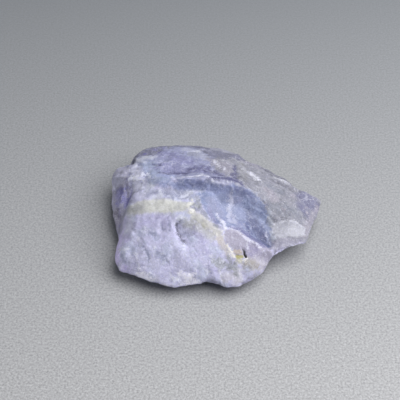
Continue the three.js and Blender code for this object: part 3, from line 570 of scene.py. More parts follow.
def mark_depth(points, lines):
    """How deep each point lies inside the lines of a mark on the plan, in mm; below nought outside them.

    For each stretch of a line: the half width, carried evenly from end to end, less the distance from the
    point to the nearest place on the stretch. The deepest of the stretches counts.
    """
    plan = points[:, :2] / PLACE
    deepest = np.full(len(points), -np.inf)
    for line in lines:
        places = np.array(line, float)
        for start, end in zip(places, places[1:] if len(places) > 1 else places):
            along = end[:2] - start[:2]
            share = np.clip((plan - start[:2]) @ along / max(along @ along, 1e-9), 0, 1)
            gap = np.linalg.norm(plan - start[:2] - share[:, None] * along, axis=1)
            deepest = np.maximum(deepest, start[2] + share * (end[2] - start[2]) - gap)
    return deepest


# ------------------------------------------------ the surface

def merged_solid(node):
    """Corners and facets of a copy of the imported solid, with the corners that share a place made one."""
    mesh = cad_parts[node].data
    flat = np.empty(len(mesh.vertices) * 3)
    mesh.vertices.foreach_get("co", flat)
    corners = np.empty(len(mesh.loops), np.int32)
    mesh.loops.foreach_get("vertex_index", corners)
    places, same = merged(flat.reshape(-1, 3))
    return places, same[corners].reshape(-1, 3)


def merged(points, grain=1e-7):
    """The distinct places among the points, told apart by the grain in metres, and each point's place."""
    keys = np.round(points / grain).astype(np.int64)
    _, first, same = np.unique(keys, axis=0, return_index=True, return_inverse=True)
    return points[first], same.reshape(-1)


def facet_grids(places, facets, parts):
    """Each flat facet as a grid of two parameters u and v, both in whole parts of its sides.

    A grid point is corner A + (u / parts)(B - A) + (v / parts)(C - A), for u + v up to parts. Each little
    square of the grid gives two triangles, save along the slanting side, where it gives one.
    """
    pairs = [(u, v) for v in range(parts + 1) for u in range(parts + 1 - v)]
    number = {pair: i for i, pair in enumerate(pairs)}
    shares = np.array(pairs) / parts
    a, b, c = (places[facets[:, i]] for i in range(3))
    along, across = (b - a)[:, None], (c - a)[:, None]
    grid = a[:, None] + shares[None, :, :1] * along + shares[None, :, 1:] * across
    cells = [(u, v) for u, v in pairs if u + v < parts]
    inner = [(u, v) for u, v in cells if u + v < parts - 1]
    small = [(number[u, v], number[u + 1, v], number[u, v + 1]) for u, v in cells]
    small += [(number[u + 1, v], number[u + 1, v + 1], number[u, v + 1]) for u, v in inner]
    faces = np.arange(len(facets))[:, None, None] * len(pairs) + np.array(small)[None]
    points, same = merged(grid.reshape(-1, 3))
    return points, same[faces.reshape(-1, 3)]


def edge_ends(faces):
    """The two ends of every edge, each edge once."""
    pairs = np.sort(np.concatenate([faces[:, [0, 1]], faces[:, [1, 2]], faces[:, [2, 0]]]), axis=1)
    return np.unique(pairs, axis=0).T


def neighbours_mean(values, ends):
    """The mean of the values at each point's neighbours, summed over the edges from both ends."""
    first, second = ends
    total = len(values)
    count = np.bincount(np.concatenate(ends), minlength=total)
    columns = values.reshape(total, -1).T
    sums = [np.bincount(first, c[second], total) + np.bincount(second, c[first], total) for c in columns]
    return (np.array(sums).T / count[:, None]).reshape(values.shape)


def eased(values, ends, rounds, free=1.0):
    """The values after moving half their free share of the way to their neighbours' mean, each round."""
    for _ in range(rounds):
        values = values + 0.5 * free * (neighbours_mean(values, ends) - values)
    return values


def facings(points, faces):
    """Unit directions out of the surface: the area directions of the faces round each point, added up."""
    a, b, c = (points[faces[:, i]] for i in range(3))
    areas = np.cross(b - a, c - a).T
    sums = [sum(np.bincount(faces[:, i], area, len(points)) for i in range(3)) for area in areas]
    total = np.array(sums).T
    return total / np.maximum(np.linalg.norm(total, axis=1, keepdims=True), 1e-30)


def swelling(points, ends, facing, rounds):
    """How far each point stands out of the surface round it, in mm, after the surface is eased."""
    smooth = eased(points, ends, rounds)
    return np.sum((points - smooth) * facing, axis=1) / MM


# ------------------------------------------------ relief

# patterns of the relief: the size of each one's cells in mm, and a whole number that sets it apart
BROAD_WANDER = (3.2, 5)
FINE_WANDER = (1.1, 6)
LARGE_CHIPS = (2.1, 11)
SMALL_CHIPS = (1.05, 12)
SUGARY_GRAIN = (0.5, 13)
NIBBLE = (0.7, 21)

BROAD_REACH = 0.5  # how far the steps' lines wander, in steps
FINE_REACH = 0.2
NIBBLE_REACH = 0.3  # how far the edges of raised and sunken marks wander, as a share of their raggedness
SMALL_SHARE = 0.6  # height of the small chips, as a share of that of the large ones
LEAST_SOFT = 0.2  # least width over which a mark's height eases in, in mm
BASE = 1e-6  # what lies lower than this, in metres, is the flat base
UNDERSIDE = -0.05  # upward part of the facing below which the stone is left without marks
DEPTH_LIMIT = 4.0  # the depths inside the marks are held within this, in mm
CREST_ROUNDS = 8  # rounds of easing that the edges are told by

TURN = np.array([[0.36, 0.48, -0.8], [-0.8, 0.6, 0.0], [0.48, 0.64, 0.6]])  # off the main directions
SCATTER = np.array([374761393, 668265263, 2246822519], np.uint64)  # large odd numbers that part the cells
SALT_SCATTER = np.uint64(1274126177)
FOLDS = ((15, 2246822519), (13, 3266489917))  # how far the numbers are folded, and what by they then grow
LAST_FOLD = np.uint64(16)
WORD = np.uint64(2**32 - 1)  # the numbers are kept to 32 binary places


def cell_numbers(cells, salt):
    """A repeatable number from -1 to 1 for each cell: large products folded into themselves."""
    mixed = (cells.astype(np.uint64) @ SCATTER + np.uint64(salt) * SALT_SCATTER) & WORD
    for fold, product in FOLDS:
        mixed = ((mixed ^ (mixed >> np.uint64(fold))) * np.uint64(product)) & WORD
    return (mixed ^ (mixed >> LAST_FOLD)) / 2.0**31 - 1.0


def chips(points, size, salt):
    """Flat chips: space is filled with cubes, each cut into six tetrahedra, with a number at every corner.

    The height at a point is its cell's plane through the four corners' numbers, so it is made of flat
    facets that meet along creases.
    """
    at = points / (size * PLACE) @ TURN
    cell = np.floor(at).astype(np.int64)
    part = at - cell
    order = np.argsort(-part, axis=1)
    part = np.take_along_axis(part, order, 1)
    rows = np.arange(len(points))
    height = (1 - part[:, 0]) * cell_numbers(cell, salt)
    for n in range(3):
        cell[rows, order[:, n]] += 1
        height += (part[:, n] - (part[:, n + 1] if n < 2 else 0)) * cell_numbers(cell, salt)
    return height


def swells(points, size, salt):
    """Smooth swells: a number at every corner of a cube, blended across it along three eased parameters."""
    at = points / (size * PLACE) @ TURN
    cell = np.floor(at).astype(np.int64)
    part = at - cell
    part = part * part * (3 - 2 * part)
    height = np.zeros(len(points))
    for corner in range(8):
        step = np.array([corner & 1, corner >> 1 & 1, corner >> 2])
        weight = np.prod(np.where(step, part, 1 - part), axis=1)
        height += weight * cell_numbers(cell + step, salt)
    return height


def fracture_steps(along, drop=0.16):
    """Low steps: each unit along, the height climbs from nought to one and falls back within the drop."""
    part = along - np.floor(along)
    return np.minimum(part / (1 - drop), (1 - part) / drop)


def within(points, lines, soft, wander=0.0):
    """One well inside a mark's lines, nought well outside, eased over the soft width in mm to each side."""
    share = np.clip(0.5 + (mark_depth(points, lines) + wander) / (2 * soft), 0, 1)
    return share * share * (3 - 2 * share)


def relief(points, shape):
    """Height of the fine relief at each point, in mm: chips, sugary grain, low steps and the marks' own."""
    plan = points[:, :2] / PLACE
    wander = BROAD_REACH * swells(points, *BROAD_WANDER) + FINE_REACH * swells(points, *FINE_WANDER)
    calmed = [share * within(points, MARKS[name].lines, CALM_SOFT) for name, share in CALM.items()]
    calm = np.prod([1 - share for share in calmed], axis=0)
    height = calm * (
        shape.chip_height * chips(points, *LARGE_CHIPS)
        + SMALL_SHARE * shape.chip_height * chips(points, *SMALL_CHIPS)
        + shape.grain_height * swells(points, *SUGARY_GRAIN)
    )
    for name, turns in STEPPED.items():
        steps = fracture_steps(plan @ np.array(turns) + wander)
        height += calm * shape.step_height * within(points, MARKS[name].lines, STEPPED_SOFT) * steps
    nibble = NIBBLE_REACH * swells(points, *NIBBLE)
    for mark in MARKS.values():
        if mark.height:
            soft = max(mark.soft, LEAST_SOFT)
            height += mark.height * within(points, mark.lines, soft, mark.ragged * nibble)
    return height


def dressed_surface(shape):
    """Points, faces and edges of the finished stone. What lies on the flat base stays there."""
    places, facets = merged_solid(NODE)
    points, faces = facet_grids(places, facets, shape.parts)
    ends = edge_ends(faces)
    free = (points[:, 2:] > BASE).astype(float)
    points = eased(points, ends, shape.soften, free)
    points = eased(points, ends, shape.wear, free * within(points, WORN, WORN_SOFT)[:, None])
    height = relief(points, shape) * MM
    points = points + free * height[:, None] * facings(points, faces)
    points[:, 2] = np.maximum(points[:, 2], 0)
    return points, faces, ends


def stone_mesh(shape):
    """The finished stone as a mesh, with each mark's depth and the edges' swelling as attributes."""
    points, faces, ends = dressed_surface(shape)
    facing = facings(points, faces)
    mesh = bpy.data.meshes.new("hackmanite_stone")
    mesh.from_pydata(points, [], faces)
    upward = np.where(facing[:, 2] > UNDERSIDE, 0.0, -DEPTH_LIMIT)
    for name, mark in MARKS.items():
        depth = np.clip(mark_depth(points, mark.lines) + upward, -DEPTH_LIMIT, DEPTH_LIMIT)
        set_attribute(mesh, name, depth)
    set_attribute(mesh, "crest", swelling(points, ends, facing, CREST_ROUNDS))
    mesh.shade_smooth()
    return mesh


def set_attribute(mesh, name, values):
    """Keeps one number for each of the mesh's points under the name."""
    attribute = mesh.attributes.new(name, "FLOAT", "POINT")
    attribute.data.foreach_set("value", values.astype(np.float32))


# ------------------------------------------------ shader node helpers

def add_node(tree, kind, inputs=None, **settings):
    """A shader node with its settings and its inputs, each a plain value or the socket that feeds it."""
    node = tree.nodes.new(kind)
    for name, value in settings.items():
        setattr(node, name, value)
    for name, value in (inputs or {}).items():
        if isinstance(value, bpy.types.NodeSocket):
            tree.links.new(value, node.inputs[name])
        else:
            node.inputs[name].default_value = value
    return node


def new_group(name, inputs, outputs):
    """A shader node group with named inputs and outputs, and its two end nodes."""
    tree = bpy.data.node_groups.new(name, "ShaderNodeTree")
    for label, (kind, value) in inputs.items():
        socket = tree.interface.new_socket(name=label, in_out="INPUT", socket_type=kind)
        socket.default_value = value
    for label, kind in outputs.items():
        tree.interface.new_socket(name=label, in_out="OUTPUT", socket_type=kind)
    return tree, tree.nodes.new("NodeGroupInput"), tree.nodes.new("NodeGroupOutput")


def math_node(tree, operation, first, second):
    """The sum, product or quotient of two values."""
    return add_node(tree, "ShaderNodeMath", {0: first, 1: second}, operation=operation).outputs[0]


def vector_node(tree, operation, first, second):
    """The outputs of a node that works on two vectors."""
    return add_node(tree, "ShaderNodeVectorMath", {0: first, 1: second}, operation=operation).outputs


def added(tree, *values):
    """The values added up, from the last to the first."""
    total = values[-1]
    for value in reversed(values[:-1]):
        total = math_node(tree, "ADD", value, total)
    return total


def multiplied(tree, *values):
    """The values multiplied together, from the last to the first."""
    product = values[-1]
    for value in reversed(values[:-1]):
        product = math_node(tree, "MULTIPLY", value, product)
    return product


def ramp(tree, value, low, high, low_out=0.0, high_out=1.0):
    """The value carried from the range low to high on to another range, held at its ends."""
    inputs = {"Value": value, "From Min": low, "From Max": high, "To Min": low_out, "To Max": high_out}
    return add_node(tree, "ShaderNodeMapRange", inputs).outputs[0]


def swing(tree, value, span, reach, middle=0.0):
    """The value carried from its span to the reach below and above the middle."""
    return ramp(tree, value, *span, middle - reach, middle + reach)


def mixed_colour(tree, factor, under, over, blend="MIX"):
    """One colour laid over another by the factor."""
    inputs = {"Factor": factor, 6: under, 7: over}
    return add_node(tree, "ShaderNodeMix", inputs, data_type="RGBA", blend_type=blend).outputs[2]


def noise(tree, position, size, detail=3.0, roughness=0.55):
    """Noise about 0.5 on the given position, with patches of the given size in mm."""
    inputs = {"Vector": position, "Scale": 1 / (size * MM), "Detail": detail, "Roughness": roughness}
    return add_node(tree, "ShaderNodeTexNoise", inputs).outputs


def attribute(tree, name):
    """The number that each point of the mesh keeps under the name."""
    return add_node(tree, "ShaderNodeAttribute", attribute_name=name).outputs["Fac"]


def mark_group():
    """Lays one colour over another where a depth in mm, shifted by the grains, is above nought."""
    tree, ins, outs = new_group(
        "mark",
        {
            "Under": ("NodeSocketColor", (0.5, 0.5, 0.5, 1)),
            "Over": ("NodeSocketColor", (0.5, 0.5, 0.5, 1)),
            "Depth": ("NodeSocketFloat", 0.0),
            "Wander": ("NodeSocketFloat", 0.0),
            "Ragged": ("NodeSocketFloat", 1.0),
            "Soft": ("NodeSocketFloat", 0.3),
            "Strength": ("NodeSocketFloat", 1.0),
        },
        {"Color": "NodeSocketColor"},
    )
    given = ins.outputs
    depth = added(tree, given["Depth"], multiplied(tree, given["Wander"], given["Ragged"]))
    low = multiplied(tree, given["Soft"], -1.0)
    inputs = {"Value": depth, "From Min": low, "From Max": given["Soft"]}
    spread = add_node(tree, "ShaderNodeMapRange", inputs, interpolation_type="SMOOTHSTEP").outputs[0]
    mask = multiplied(tree, spread, given["Strength"])
    tree.links.new(mixed_colour(tree, mask, given["Under"], given["Over"]), outs.inputs["Color"])
    return tree


BEND_SIZE = 1.0  # size of the waves that bend the grains, in mm
BEND = 0.9  # how far they bend them, in mm


def grains_group():
    """Angular grains: cells at random tilts, with a number for each cell and the seams between them.

    The height is the distance from the cell's middle along a direction of the cell's own, so that each
    grain is a flat facet with a tilt of its own.
    """
    tree, ins, outs = new_group(
        "grains",
        {"Position": ("NodeSocketVector", (0, 0, 0)), "Size": ("NodeSocketFloat", 1.0)},
        {label: "NodeSocketFloat" for label in ("Tone", "Number", "Height", "Seam")},
    )
    given = ins.outputs
    half = (0.5, 0.5, 0.5)
    bend = noise(tree, given["Position"], BEND_SIZE, detail=2.0)["Color"]
    bend = vector_node(tree, "SUBTRACT", bend, half)[0]
    bend = vector_node(tree, "MULTIPLY", bend, (BEND * MM,) * 3)[0]
    bent = vector_node(tree, "ADD", given["Position"], bend)[0]
    inputs = {"Vector": bent, "Scale": math_node(tree, "DIVIDE", 1 / MM, given["Size"])}
    cells = add_node(tree, "ShaderNodeTexVoronoi", inputs).outputs
    seams = add_node(tree, "ShaderNodeTexVoronoi", inputs, feature="DISTANCE_TO_EDGE").outputs
    numbers = add_node(tree, "ShaderNodeSeparateColor", {0: cells["Color"]}).outputs
    tilt = vector_node(tree, "SUBTRACT", cells["Color"], half)[0]
    away = vector_node(tree, "SUBTRACT", bent, cells["Position"])[0]
    height = vector_node(tree, "DOT_PRODUCT", away, tilt)["Value"]
    results = {"Tone": numbers[0], "Number": numbers[1], "Height": height, "Seam": seams[0]}
    for label, result in results.items():
        tree.links.new(result, outs.inputs[label])
    return tree


def grains(tree, group, position, size):
    """The grains' values on the given position, for grains of the given size in mm."""
    inputs = {"Position": position, "Size": size}
    return add_node(tree, "ShaderNodeGroup", inputs, node_tree=group).outputs


# ------------------------------------------------ properties

def colour(name, description, default):
    """A colour that the user may change."""
    settings = {"name": name, "description": description, "default": default}
    return FloatVectorProperty(**settings, subtype="COLOR", size=3, min=0.0, max=1.0)


class StoneShape(bpy.types.PropertyGroup):
    """How finely the solid is cut up, and how high its relief stands"""

    parts: IntProperty(
        name="Parts", description="Parts that each side of a facet is cut into", default=4, min=1, max=4
    )
    soften: IntProperty(
        name="Soften", description="Rounds of easing before the fine relief", default=3, min=0, max=20
    )
    wear: IntProperty(
        name="Wear", description="Further rounds where creases are worn off", default=60, min=0, max=200
    )
    chip_height: FloatProperty(
        name="Chip height", description="Height of the larger chips in mm", default=0.1, min=0.0, max=0.6
    )
    grain_height: FloatProperty(
        name="Grain height", description="Height of the sugary grain in mm", default=0.035, min=0.0, max=0.2
    )
    step_height: FloatProperty(
        name="Step height", description="Height of the fracture steps in mm", default=0.13, min=0.0, max=0.5
    )


class StoneColours(bpy.types.PropertyGroup):
    """The mineral colours of the stone"""

    face: colour("Face", "Pale lavender of the front face", (0.48, 0.47, 0.65))
    # the face's pale lavender, made paler as painted light
    face_pale_painted_light: colour("Face pale", "Paler middle of the front face", (0.6, 0.59, 0.78))
    upper: colour("Upper", "Grey-lavender of the upper side", (0.27, 0.28, 0.42))
    body: colour("Body", "Bluer clouds all through the stone", (0.43, 0.45, 0.6))
    face_blue: colour("Face blue", "Grey-blue patches of the face", (0.28, 0.3, 0.43))
    face_crack: colour("Face crack", "Darker lines of the face", (0.25, 0.26, 0.4))
    face_violet: colour("Face violet", "Violet patches of the face", (0.38, 0.36, 0.55))
    rim: colour("Rim", "Pinkish white of the lower rim", (0.53, 0.51, 0.59))
    # painted light: the lower rim painted near white where it turns down into shade
    rim_painted_light: colour("Rim white", "Whitest parts of the lower rim", (0.85, 0.83, 0.95))
    # violet of the left side, made lighter as painted light on the side away from the key light
    band: colour("Band", "Dull violet of the left side and corner", (0.64, 0.56, 0.89))
    # also laid by the glint marks as painted highlights, besides the white grains and broken edges
    grain: colour("Grain", "White sugary grains and broken edges", (0.68, 0.68, 0.79))
    # also laid by pale_glint as a painted highlight, besides the bruised white of the stone
    white: colour("White", "Bruised white", (0.56, 0.57, 0.67))
    # the shoulder's white, brightened as painted light over the shaded facet
    bruise_and_painted_light: colour("Bruise", "Whitest bruises of the shoulder", (0.76, 0.77, 0.9))
    shoulder: colour("Shoulder", "Pale lavender of the left shoulder", (0.62, 0.62, 0.77))
    # the shoulder's pale lavender, made paler as painted light on its shaded foot
    shoulder_pale_painted_light: colour("Shoulder pale", "Paler foot of the shoulder", (0.66, 0.66, 0.82))
    shoulder_edge: colour("Shoulder edge", "Shaded edge of the shoulder", (0.3, 0.3, 0.42))
    plateau: colour("Plateau", "Blue-grey of the upper side", (0.31, 0.35, 0.5))
    plateau_violet: colour("Plateau violet", "Violet-blue of the upper side", (0.23, 0.23, 0.39))
    lavender: colour("Lavender", "Light lavender", (0.43, 0.44, 0.62))
    pale_back: colour("Pale back", "Pale back edge", (0.36, 0.37, 0.48))
    dark_back: colour("Dark back", "Dark purple-grey corner at the back", (0.16, 0.16, 0.23))
    grey_back: colour("Grey back", "Grey back edge", (0.17, 0.17, 0.24))
    back_pale: colour("Back pale", "Paler part of the back edge", (0.36, 0.36, 0.43))
    pink: colour("Pink", "Pinkish grains", (0.26, 0.25, 0.31))
    streak: colour("Streak", "Dark violet streaks", (0.08, 0.08, 0.17))
    # the ledge's blue, also laid as painted shadow on the terrace just below it
    riser: colour("Riser", "Blue of the ledge", (0.25, 0.28, 0.46))
    riser_deep: colour("Riser deep", "Deepest blue of the ledge", (0.14, 0.15, 0.31))
    lip: colour("Lip", "Pale broken edges", (0.46, 0.47, 0.6))
    terrace: colour("Terrace", "Lavender white under the ledge", (0.23, 0.24, 0.34))
    cream: colour("Cream", "Cream vein", (0.51, 0.51, 0.5))
    cream_branch: colour("Cream branch", "Thinner branch of the vein", (0.44, 0.43, 0.43))
    beige_pink: colour("Beige pink", "Pinkish foot of the vein", (0.46, 0.42, 0.43))
    cream_yellow: colour("Cream yellow", "Yellower branch of the vein", (0.42, 0.41, 0.33))
    cream_grey: colour("Cream grey", "Greyer end of the vein", (0.4, 0.4, 0.42))
    facet_grey: colour("Facet grey", "Smooth pale facet by the vein", (0.46, 0.46, 0.49))
    cream_white: colour("Cream white", "White rims in the vein", (0.68, 0.67, 0.63))
    loop_white: colour("Loop white", "White rim round the lens", (0.74, 0.71, 0.7))
    pocket: colour("Pocket", "Grey speckled pocket", (0.28, 0.29, 0.32))
    pit: colour("Pit", "Grey-violet pit", (0.29, 0.3, 0.42))
    pit_deep: colour("Pit deep", "Darkest hollows of the pit", (0.16, 0.16, 0.24))
    scoop_blue: colour("Scoop blue", "Middle blue of the scoop", (0.29, 0.33, 0.5))
    scoop: colour("Scoop", "Blue of the scoop", (0.23, 0.26, 0.41))
    scoop_deep: colour("Scoop deep", "Deeper blue of the scoop", (0.08, 0.09, 0.19))
    scoop_grey: colour("Scoop grey", "Grey-blue by the ledge", (0.19, 0.23, 0.39))
    branch_side: colour("Branch side", "Grey side of the vein's branch", (0.22, 0.23, 0.29))
    scoop_pale: colour("Scoop pale", "Pale streaks of the scoop", (0.29, 0.3, 0.45))
    violet_facet: colour("Violet facet", "Smooth violet facet", (0.24, 0.24, 0.38))
    # blue-violet of the ridge, darkened as painted shade where the crest catches light
    ridge_shade: colour("Ridge shade", "Blue breaks in the ridge over the lobe", (0.16, 0.16, 0.3))
    lobe: colour("Lobe", "Pinkish lavender lobe", (0.34, 0.32, 0.42))
    lobe_violet: colour("Lobe violet", "Violet right side of the lobe", (0.22, 0.2, 0.34))
    beige: colour("Beige", "Beige patch", (0.32, 0.29, 0.25))
    lens: colour("Lens", "Pinkish lens", (0.43, 0.36, 0.31))
    green: colour("Green", "Yellow-green spot", (0.357, 0.325, 0.072))
    wing: colour("Wing", "Grey-white right wing", (0.25, 0.25, 0.3))
    wing_grey: colour("Wing grey", "Greyer middle of the wing", (0.2, 0.21, 0.26))
    wing_light: colour("Wing light", "Pale folds of the wing", (0.4, 0.4, 0.46))
    # also laid as a painted shadow above the white patch
    wing_dark: colour("Wing dark", "Dark lines and back edge of the wing", (0.13, 0.13, 0.17))
    wing_pale: colour("Wing pale", "Pale wedge and tip edge", (0.31, 0.29, 0.35))
    wing_root: colour("Wing root", "Greyish root of the wing", (0.24, 0.24, 0.27))
    violet: colour("Violet", "Violet tip of the wing", (0.15, 0.15, 0.24))
    white_patch: colour("White patch", "White patch below the wing", (0.41, 0.41, 0.47))
    patch_grey: colour("Patch grey", "Grey left side of the white patch", (0.4, 0.42, 0.5))
    below_patch: colour("Below patch", "Dull lavender round the white patch", (0.29, 0.28, 0.36))
    wing_foot: colour("Wing foot", "Shaded lower edge of the wing", (0.18, 0.17, 0.23))
    # painted light: the top of the left end painted paler
    left_top_painted_light: colour("Left top", "Paler top of the left end", (0.52, 0.52, 0.68))
    left_grey: colour("Left grey", "Purple-grey left end", (0.31, 0.3, 0.41))
    left_pale: colour("Left pale", "Pale rib of the left end", (0.47, 0.46, 0.6))
    left_shade: colour("Left shade", "Duller foot of the left end", (0.24, 0.22, 0.29))
    left_violet: colour("Left violet", "Violet hollows of the left end", (0.3, 0.29, 0.55))
    left_dark: colour("Left dark", "Darkest hollows", (0.15, 0.14, 0.37))
    black: colour("Black", "Tiny open crack", (0.01, 0.01, 0.012))


class StageSettings(bpy.types.PropertyGroup):
    """The floor, the lights and the camera"""

    # the floor's two tones are painted light falloff: paler near the camera, greyer behind
    floor_near_painted_light: colour("Floor near", "Pale floor in front of the stone", (0.385, 0.385, 0.395))
    floor_far_painted_shade: colour("Floor far", "Greyer floor behind the stone", (0.21, 0.22, 0.235))
    sky: colour("Sky", "Tone of the light from all round", (0.86, 0.92, 1.0))
    elevation: FloatProperty(
        name="Elevation",
        description="Camera's angle above the floor",
        default=math.radians(48),
        subtype="ANGLE",
    )
    distance: FloatProperty(
        name="Distance", description="From the camera to the point it looks at", default=0.32, unit="LENGTH"
    )
    focal_length: FloatProperty(
        name="Focal length",
        description="Of the lens before its sensor, in mm",
        default=131.25,
        min=20.0,
        max=400.0,
    )
    key_power: FloatProperty(
        name="Key light", description="Power of the soft light overhead, in watts", default=1.6
    )
    bounce_power: FloatProperty(
        name="Bounce", description="Power of the weak light on the left, in watts", default=0.09
    )
    fill: FloatProperty(name="Fill", description="Strength of the light from all round", default=0.15)


# ------------------------------------------------ the stone's material

COARSE_GRAIN = 1.5  # sizes of the patterns, in mm
FINE_GRAIN = 0.48
CLOUD = 4.0
MOTTLE = 1.3
SPECKLE = 0.28

NOISE_SPAN = (0.3, 0.7)  # what most of a noise lies between
WIDE_SPAN = (0.25, 0.75)
WHOLE_SPAN = (0.0, 1.0)  # what a grain's own number lies between

CLOUD_BREAK = 0.1  # how far the mottle breaks the clouds up
CLOUD_EDGE = (0.46, 0.6)  # from where to where a cloud comes in
MOTTLE_WANDER = 0.8  # how far each pattern shifts the marks' edges, as a share of their raggedness
GRAIN_WANDER = 0.2
SPECKLE_WANDER = 0.3
COARSE_TONE = 0.05  # how far each pattern makes the stone lighter and darker
FINE_TONE = 0.06
SPECKLE_TONE = 0.11

SEAM_WIDTH = 0.07  # half width of the white seams between coarse grains, as a share of a grain
SEAM_CLOUD = (0.5, 0.62)  # how cloudy the stone is where the seams show
SEAM_WHITE = 0.35
CREST_BREAK = 0.03  # how far the speckle breaks up the worn edges, in mm
CREST = (0.04, 0.12)  # how far an edge stands out where it turns white, in mm
CREST_WHITE = 0.15
FLECK_AND_GLINT = (0.58, 0.7)  # the part of the speckle that turns white: partly white flecks of the stone, partly painted glints
FLECK_AND_GLINT_WHITE = 0.52
HOLLOW_SHADE = (-0.09, -0.02)  # how deep a recess lies where it is darkened as painted shade, in mm
HOLLOW_SHADE_TONE = 0.8

SHEEN = (0.4, 0.62)  # roughness, from the waxy parts to the dull ones
SPECKLE_HEIGHT = 0.12  # how far the speckle stands out in the bump, in mm
BUMP = 0.3
REFRACTION = 1.48  # index of refraction of the mineral
CLOUDY = 0.35  # how much of the light passes into the stone
CLOUDY_REACH = (0.9, 0.9, 1.2)  # how far it goes in red, green and blue, as a share of the next value
CLOUDY_DEPTH = 0.5 * MM


def as_rgba(value):
    """The colour with full cover."""
    return (*value, 1.0)


def laid_marks(tree, colour_now, wander, colours):
    """The marks laid over the body colour one after another, in the order of the table."""
    group = mark_group()
    for name, mark in MARKS.items():
        inputs = {
            "Under": colour_now,
            "Over": as_rgba(getattr(colours, mark.colour)),
            "Depth": attribute(tree, name),
            "Wander": wander,
            "Ragged": mark.ragged,
            "Soft": mark.soft,
            "Strength": mark.strength,
        }
        colour_now = add_node(tree, "ShaderNodeGroup", inputs, node_tree=group).outputs["Color"]
    return colour_now


def stone_material(colours):
    """Cloudy hackmanite: colours laid mark by mark and broken up by angular grains, with a waxy sheen."""
    material = bpy.data.materials.new("hackmanite_mineral")
    material.use_nodes = True
    tree = material.node_tree
    shader = tree.nodes["Principled BSDF"]
    position = add_node(tree, "ShaderNodeTexCoord").outputs["Object"]
    group = grains_group()
    coarse = grains(tree, group, position, COARSE_GRAIN)
    fine = grains(tree, group, position, FINE_GRAIN)
    cloud = noise(tree, position, CLOUD, detail=4.0)["Fac"]
    speckle = noise(tree, position, SPECKLE, roughness=0.75)["Fac"]
    mottle = noise(tree, position, MOTTLE, detail=5.0, roughness=0.72)["Fac"]

    clouds = added(tree, cloud, swing(tree, mottle, NOISE_SPAN, CLOUD_BREAK))
    clouds = ramp(tree, clouds, *CLOUD_EDGE)
    colour_now = mixed_colour(tree, clouds, as_rgba(colours.face), as_rgba(colours.body))
    wander = added(
        tree,
        swing(tree, mottle, NOISE_SPAN, MOTTLE_WANDER),
        swing(tree, fine["Tone"], WHOLE_SPAN, GRAIN_WANDER),
        swing(tree, speckle, WIDE_SPAN, SPECKLE_WANDER),
    )
    colour_now = laid_marks(tree, colour_now, wander, colours)
    tone = multiplied(
        tree,
        swing(tree, coarse["Number"], WHOLE_SPAN, COARSE_TONE, middle=1.0),
        swing(tree, fine["Number"], WHOLE_SPAN, FINE_TONE, middle=1.0),
        swing(tree, speckle, NOISE_SPAN, SPECKLE_TONE, middle=1.0),
    )
    colour_now = mixed_colour(tree, 1.0, colour_now, tone, blend="MULTIPLY")

    white = as_rgba(colours.grain)
    seam = ramp(tree, coarse["Seam"], 0.0, SEAM_WIDTH, 1.0, 0.0)
    seam = multiplied(tree, seam, ramp(tree, cloud, *SEAM_CLOUD))
    crest = added(tree, attribute(tree, "crest"), swing(tree, speckle, NOISE_SPAN, CREST_BREAK))
    whites = (
        multiplied(tree, seam, SEAM_WHITE),
        ramp(tree, crest, *CREST, 0.0, CREST_WHITE),
        # white flecks of the stone together with painted glints
        ramp(tree, speckle, *FLECK_AND_GLINT, 0.0, FLECK_AND_GLINT_WHITE),
    )
    for share in whites:
        colour_now = mixed_colour(tree, share, colour_now, white)
    # painted shade: the colour darkens where the surface lies below the surface round it
    hollow_shade = ramp(tree, crest, *HOLLOW_SHADE, HOLLOW_SHADE_TONE, 1.0)
    colour_now = mixed_colour(tree, 1.0, colour_now, hollow_shade, blend="MULTIPLY")
    tree.links.new(colour_now, shader.inputs["Base Color"])

    tree.links.new(ramp(tree, speckle, *NOISE_SPAN, *SHEEN), shader.inputs["Roughness"])
    height = added(tree, coarse["Height"], fine["Height"], multiplied(tree, speckle, SPECKLE_HEIGHT * MM))
    bump = add_node(tree, "ShaderNodeBump", {"Height": height, "Strength": BUMP, "Distance": 1.0})
    tree.links.new(bump.outputs[0], shader.inputs["Normal"])
    shader.inputs["IOR"].default_value = REFRACTION
    shader.inputs["Subsurface Weight"].default_value = CLOUDY
    shader.inputs["Subsurface Radius"].default_value = CLOUDY_REACH
    shader.inputs["Subsurface Scale"].default_value = CLOUDY_DEPTH
    return material


# ------------------------------------------------ operators

class HACKMANITE_OT_stone(bpy.types.Operator):
    """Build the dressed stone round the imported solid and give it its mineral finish"""

    bl_idname = "hackmanite.stone"
    bl_label = "Build the stone"

    def execute(self, context):
        scene = context.scene
        mesh = stone_mesh(scene.stone_shape)
        mesh.materials.append(stone_material(scene.stone_colours))
        stone = bpy.data.objects.new("hackmanite_stone", mesh)
        scene.collection.objects.link(stone)
        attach(stone, BODY)
        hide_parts(NODE)
        return {"FINISHED"}


class HACKMANITE_OT_stage(bpy.types.Operator):
    """Set the pale floor, the soft light and the camera"""

    bl_idname = "hackmanite.stage"
    bl_label = "Set the stage"

    def execute(self, context):
        scene = context.scene
        settings = scene.stone_stage
        make_floor(scene, settings)
        make_lights(scene, settings)
        make_camera(scene, settings)
        scene.view_settings.view_transform = "Standard"
        return {"FINISHED"}


# ------------------------------------------------ the stage, in metres unless said

AIM = Vector((-3.33, 7.9, 0.0))  # the point on the floor that the camera looks at, in mm of the plan
SENSOR_WIDTH = 36.0  # in mm
KEY_PLACE = Vector((0.138, -0.015, 0.255))
KEY_SIDE = 0.347
BOUNCE_PLACE = Vector((-0.25, 0.08, 0.09))
BOUNCE_SIDE = 0.2
FLOOR_SIDE = 3.0
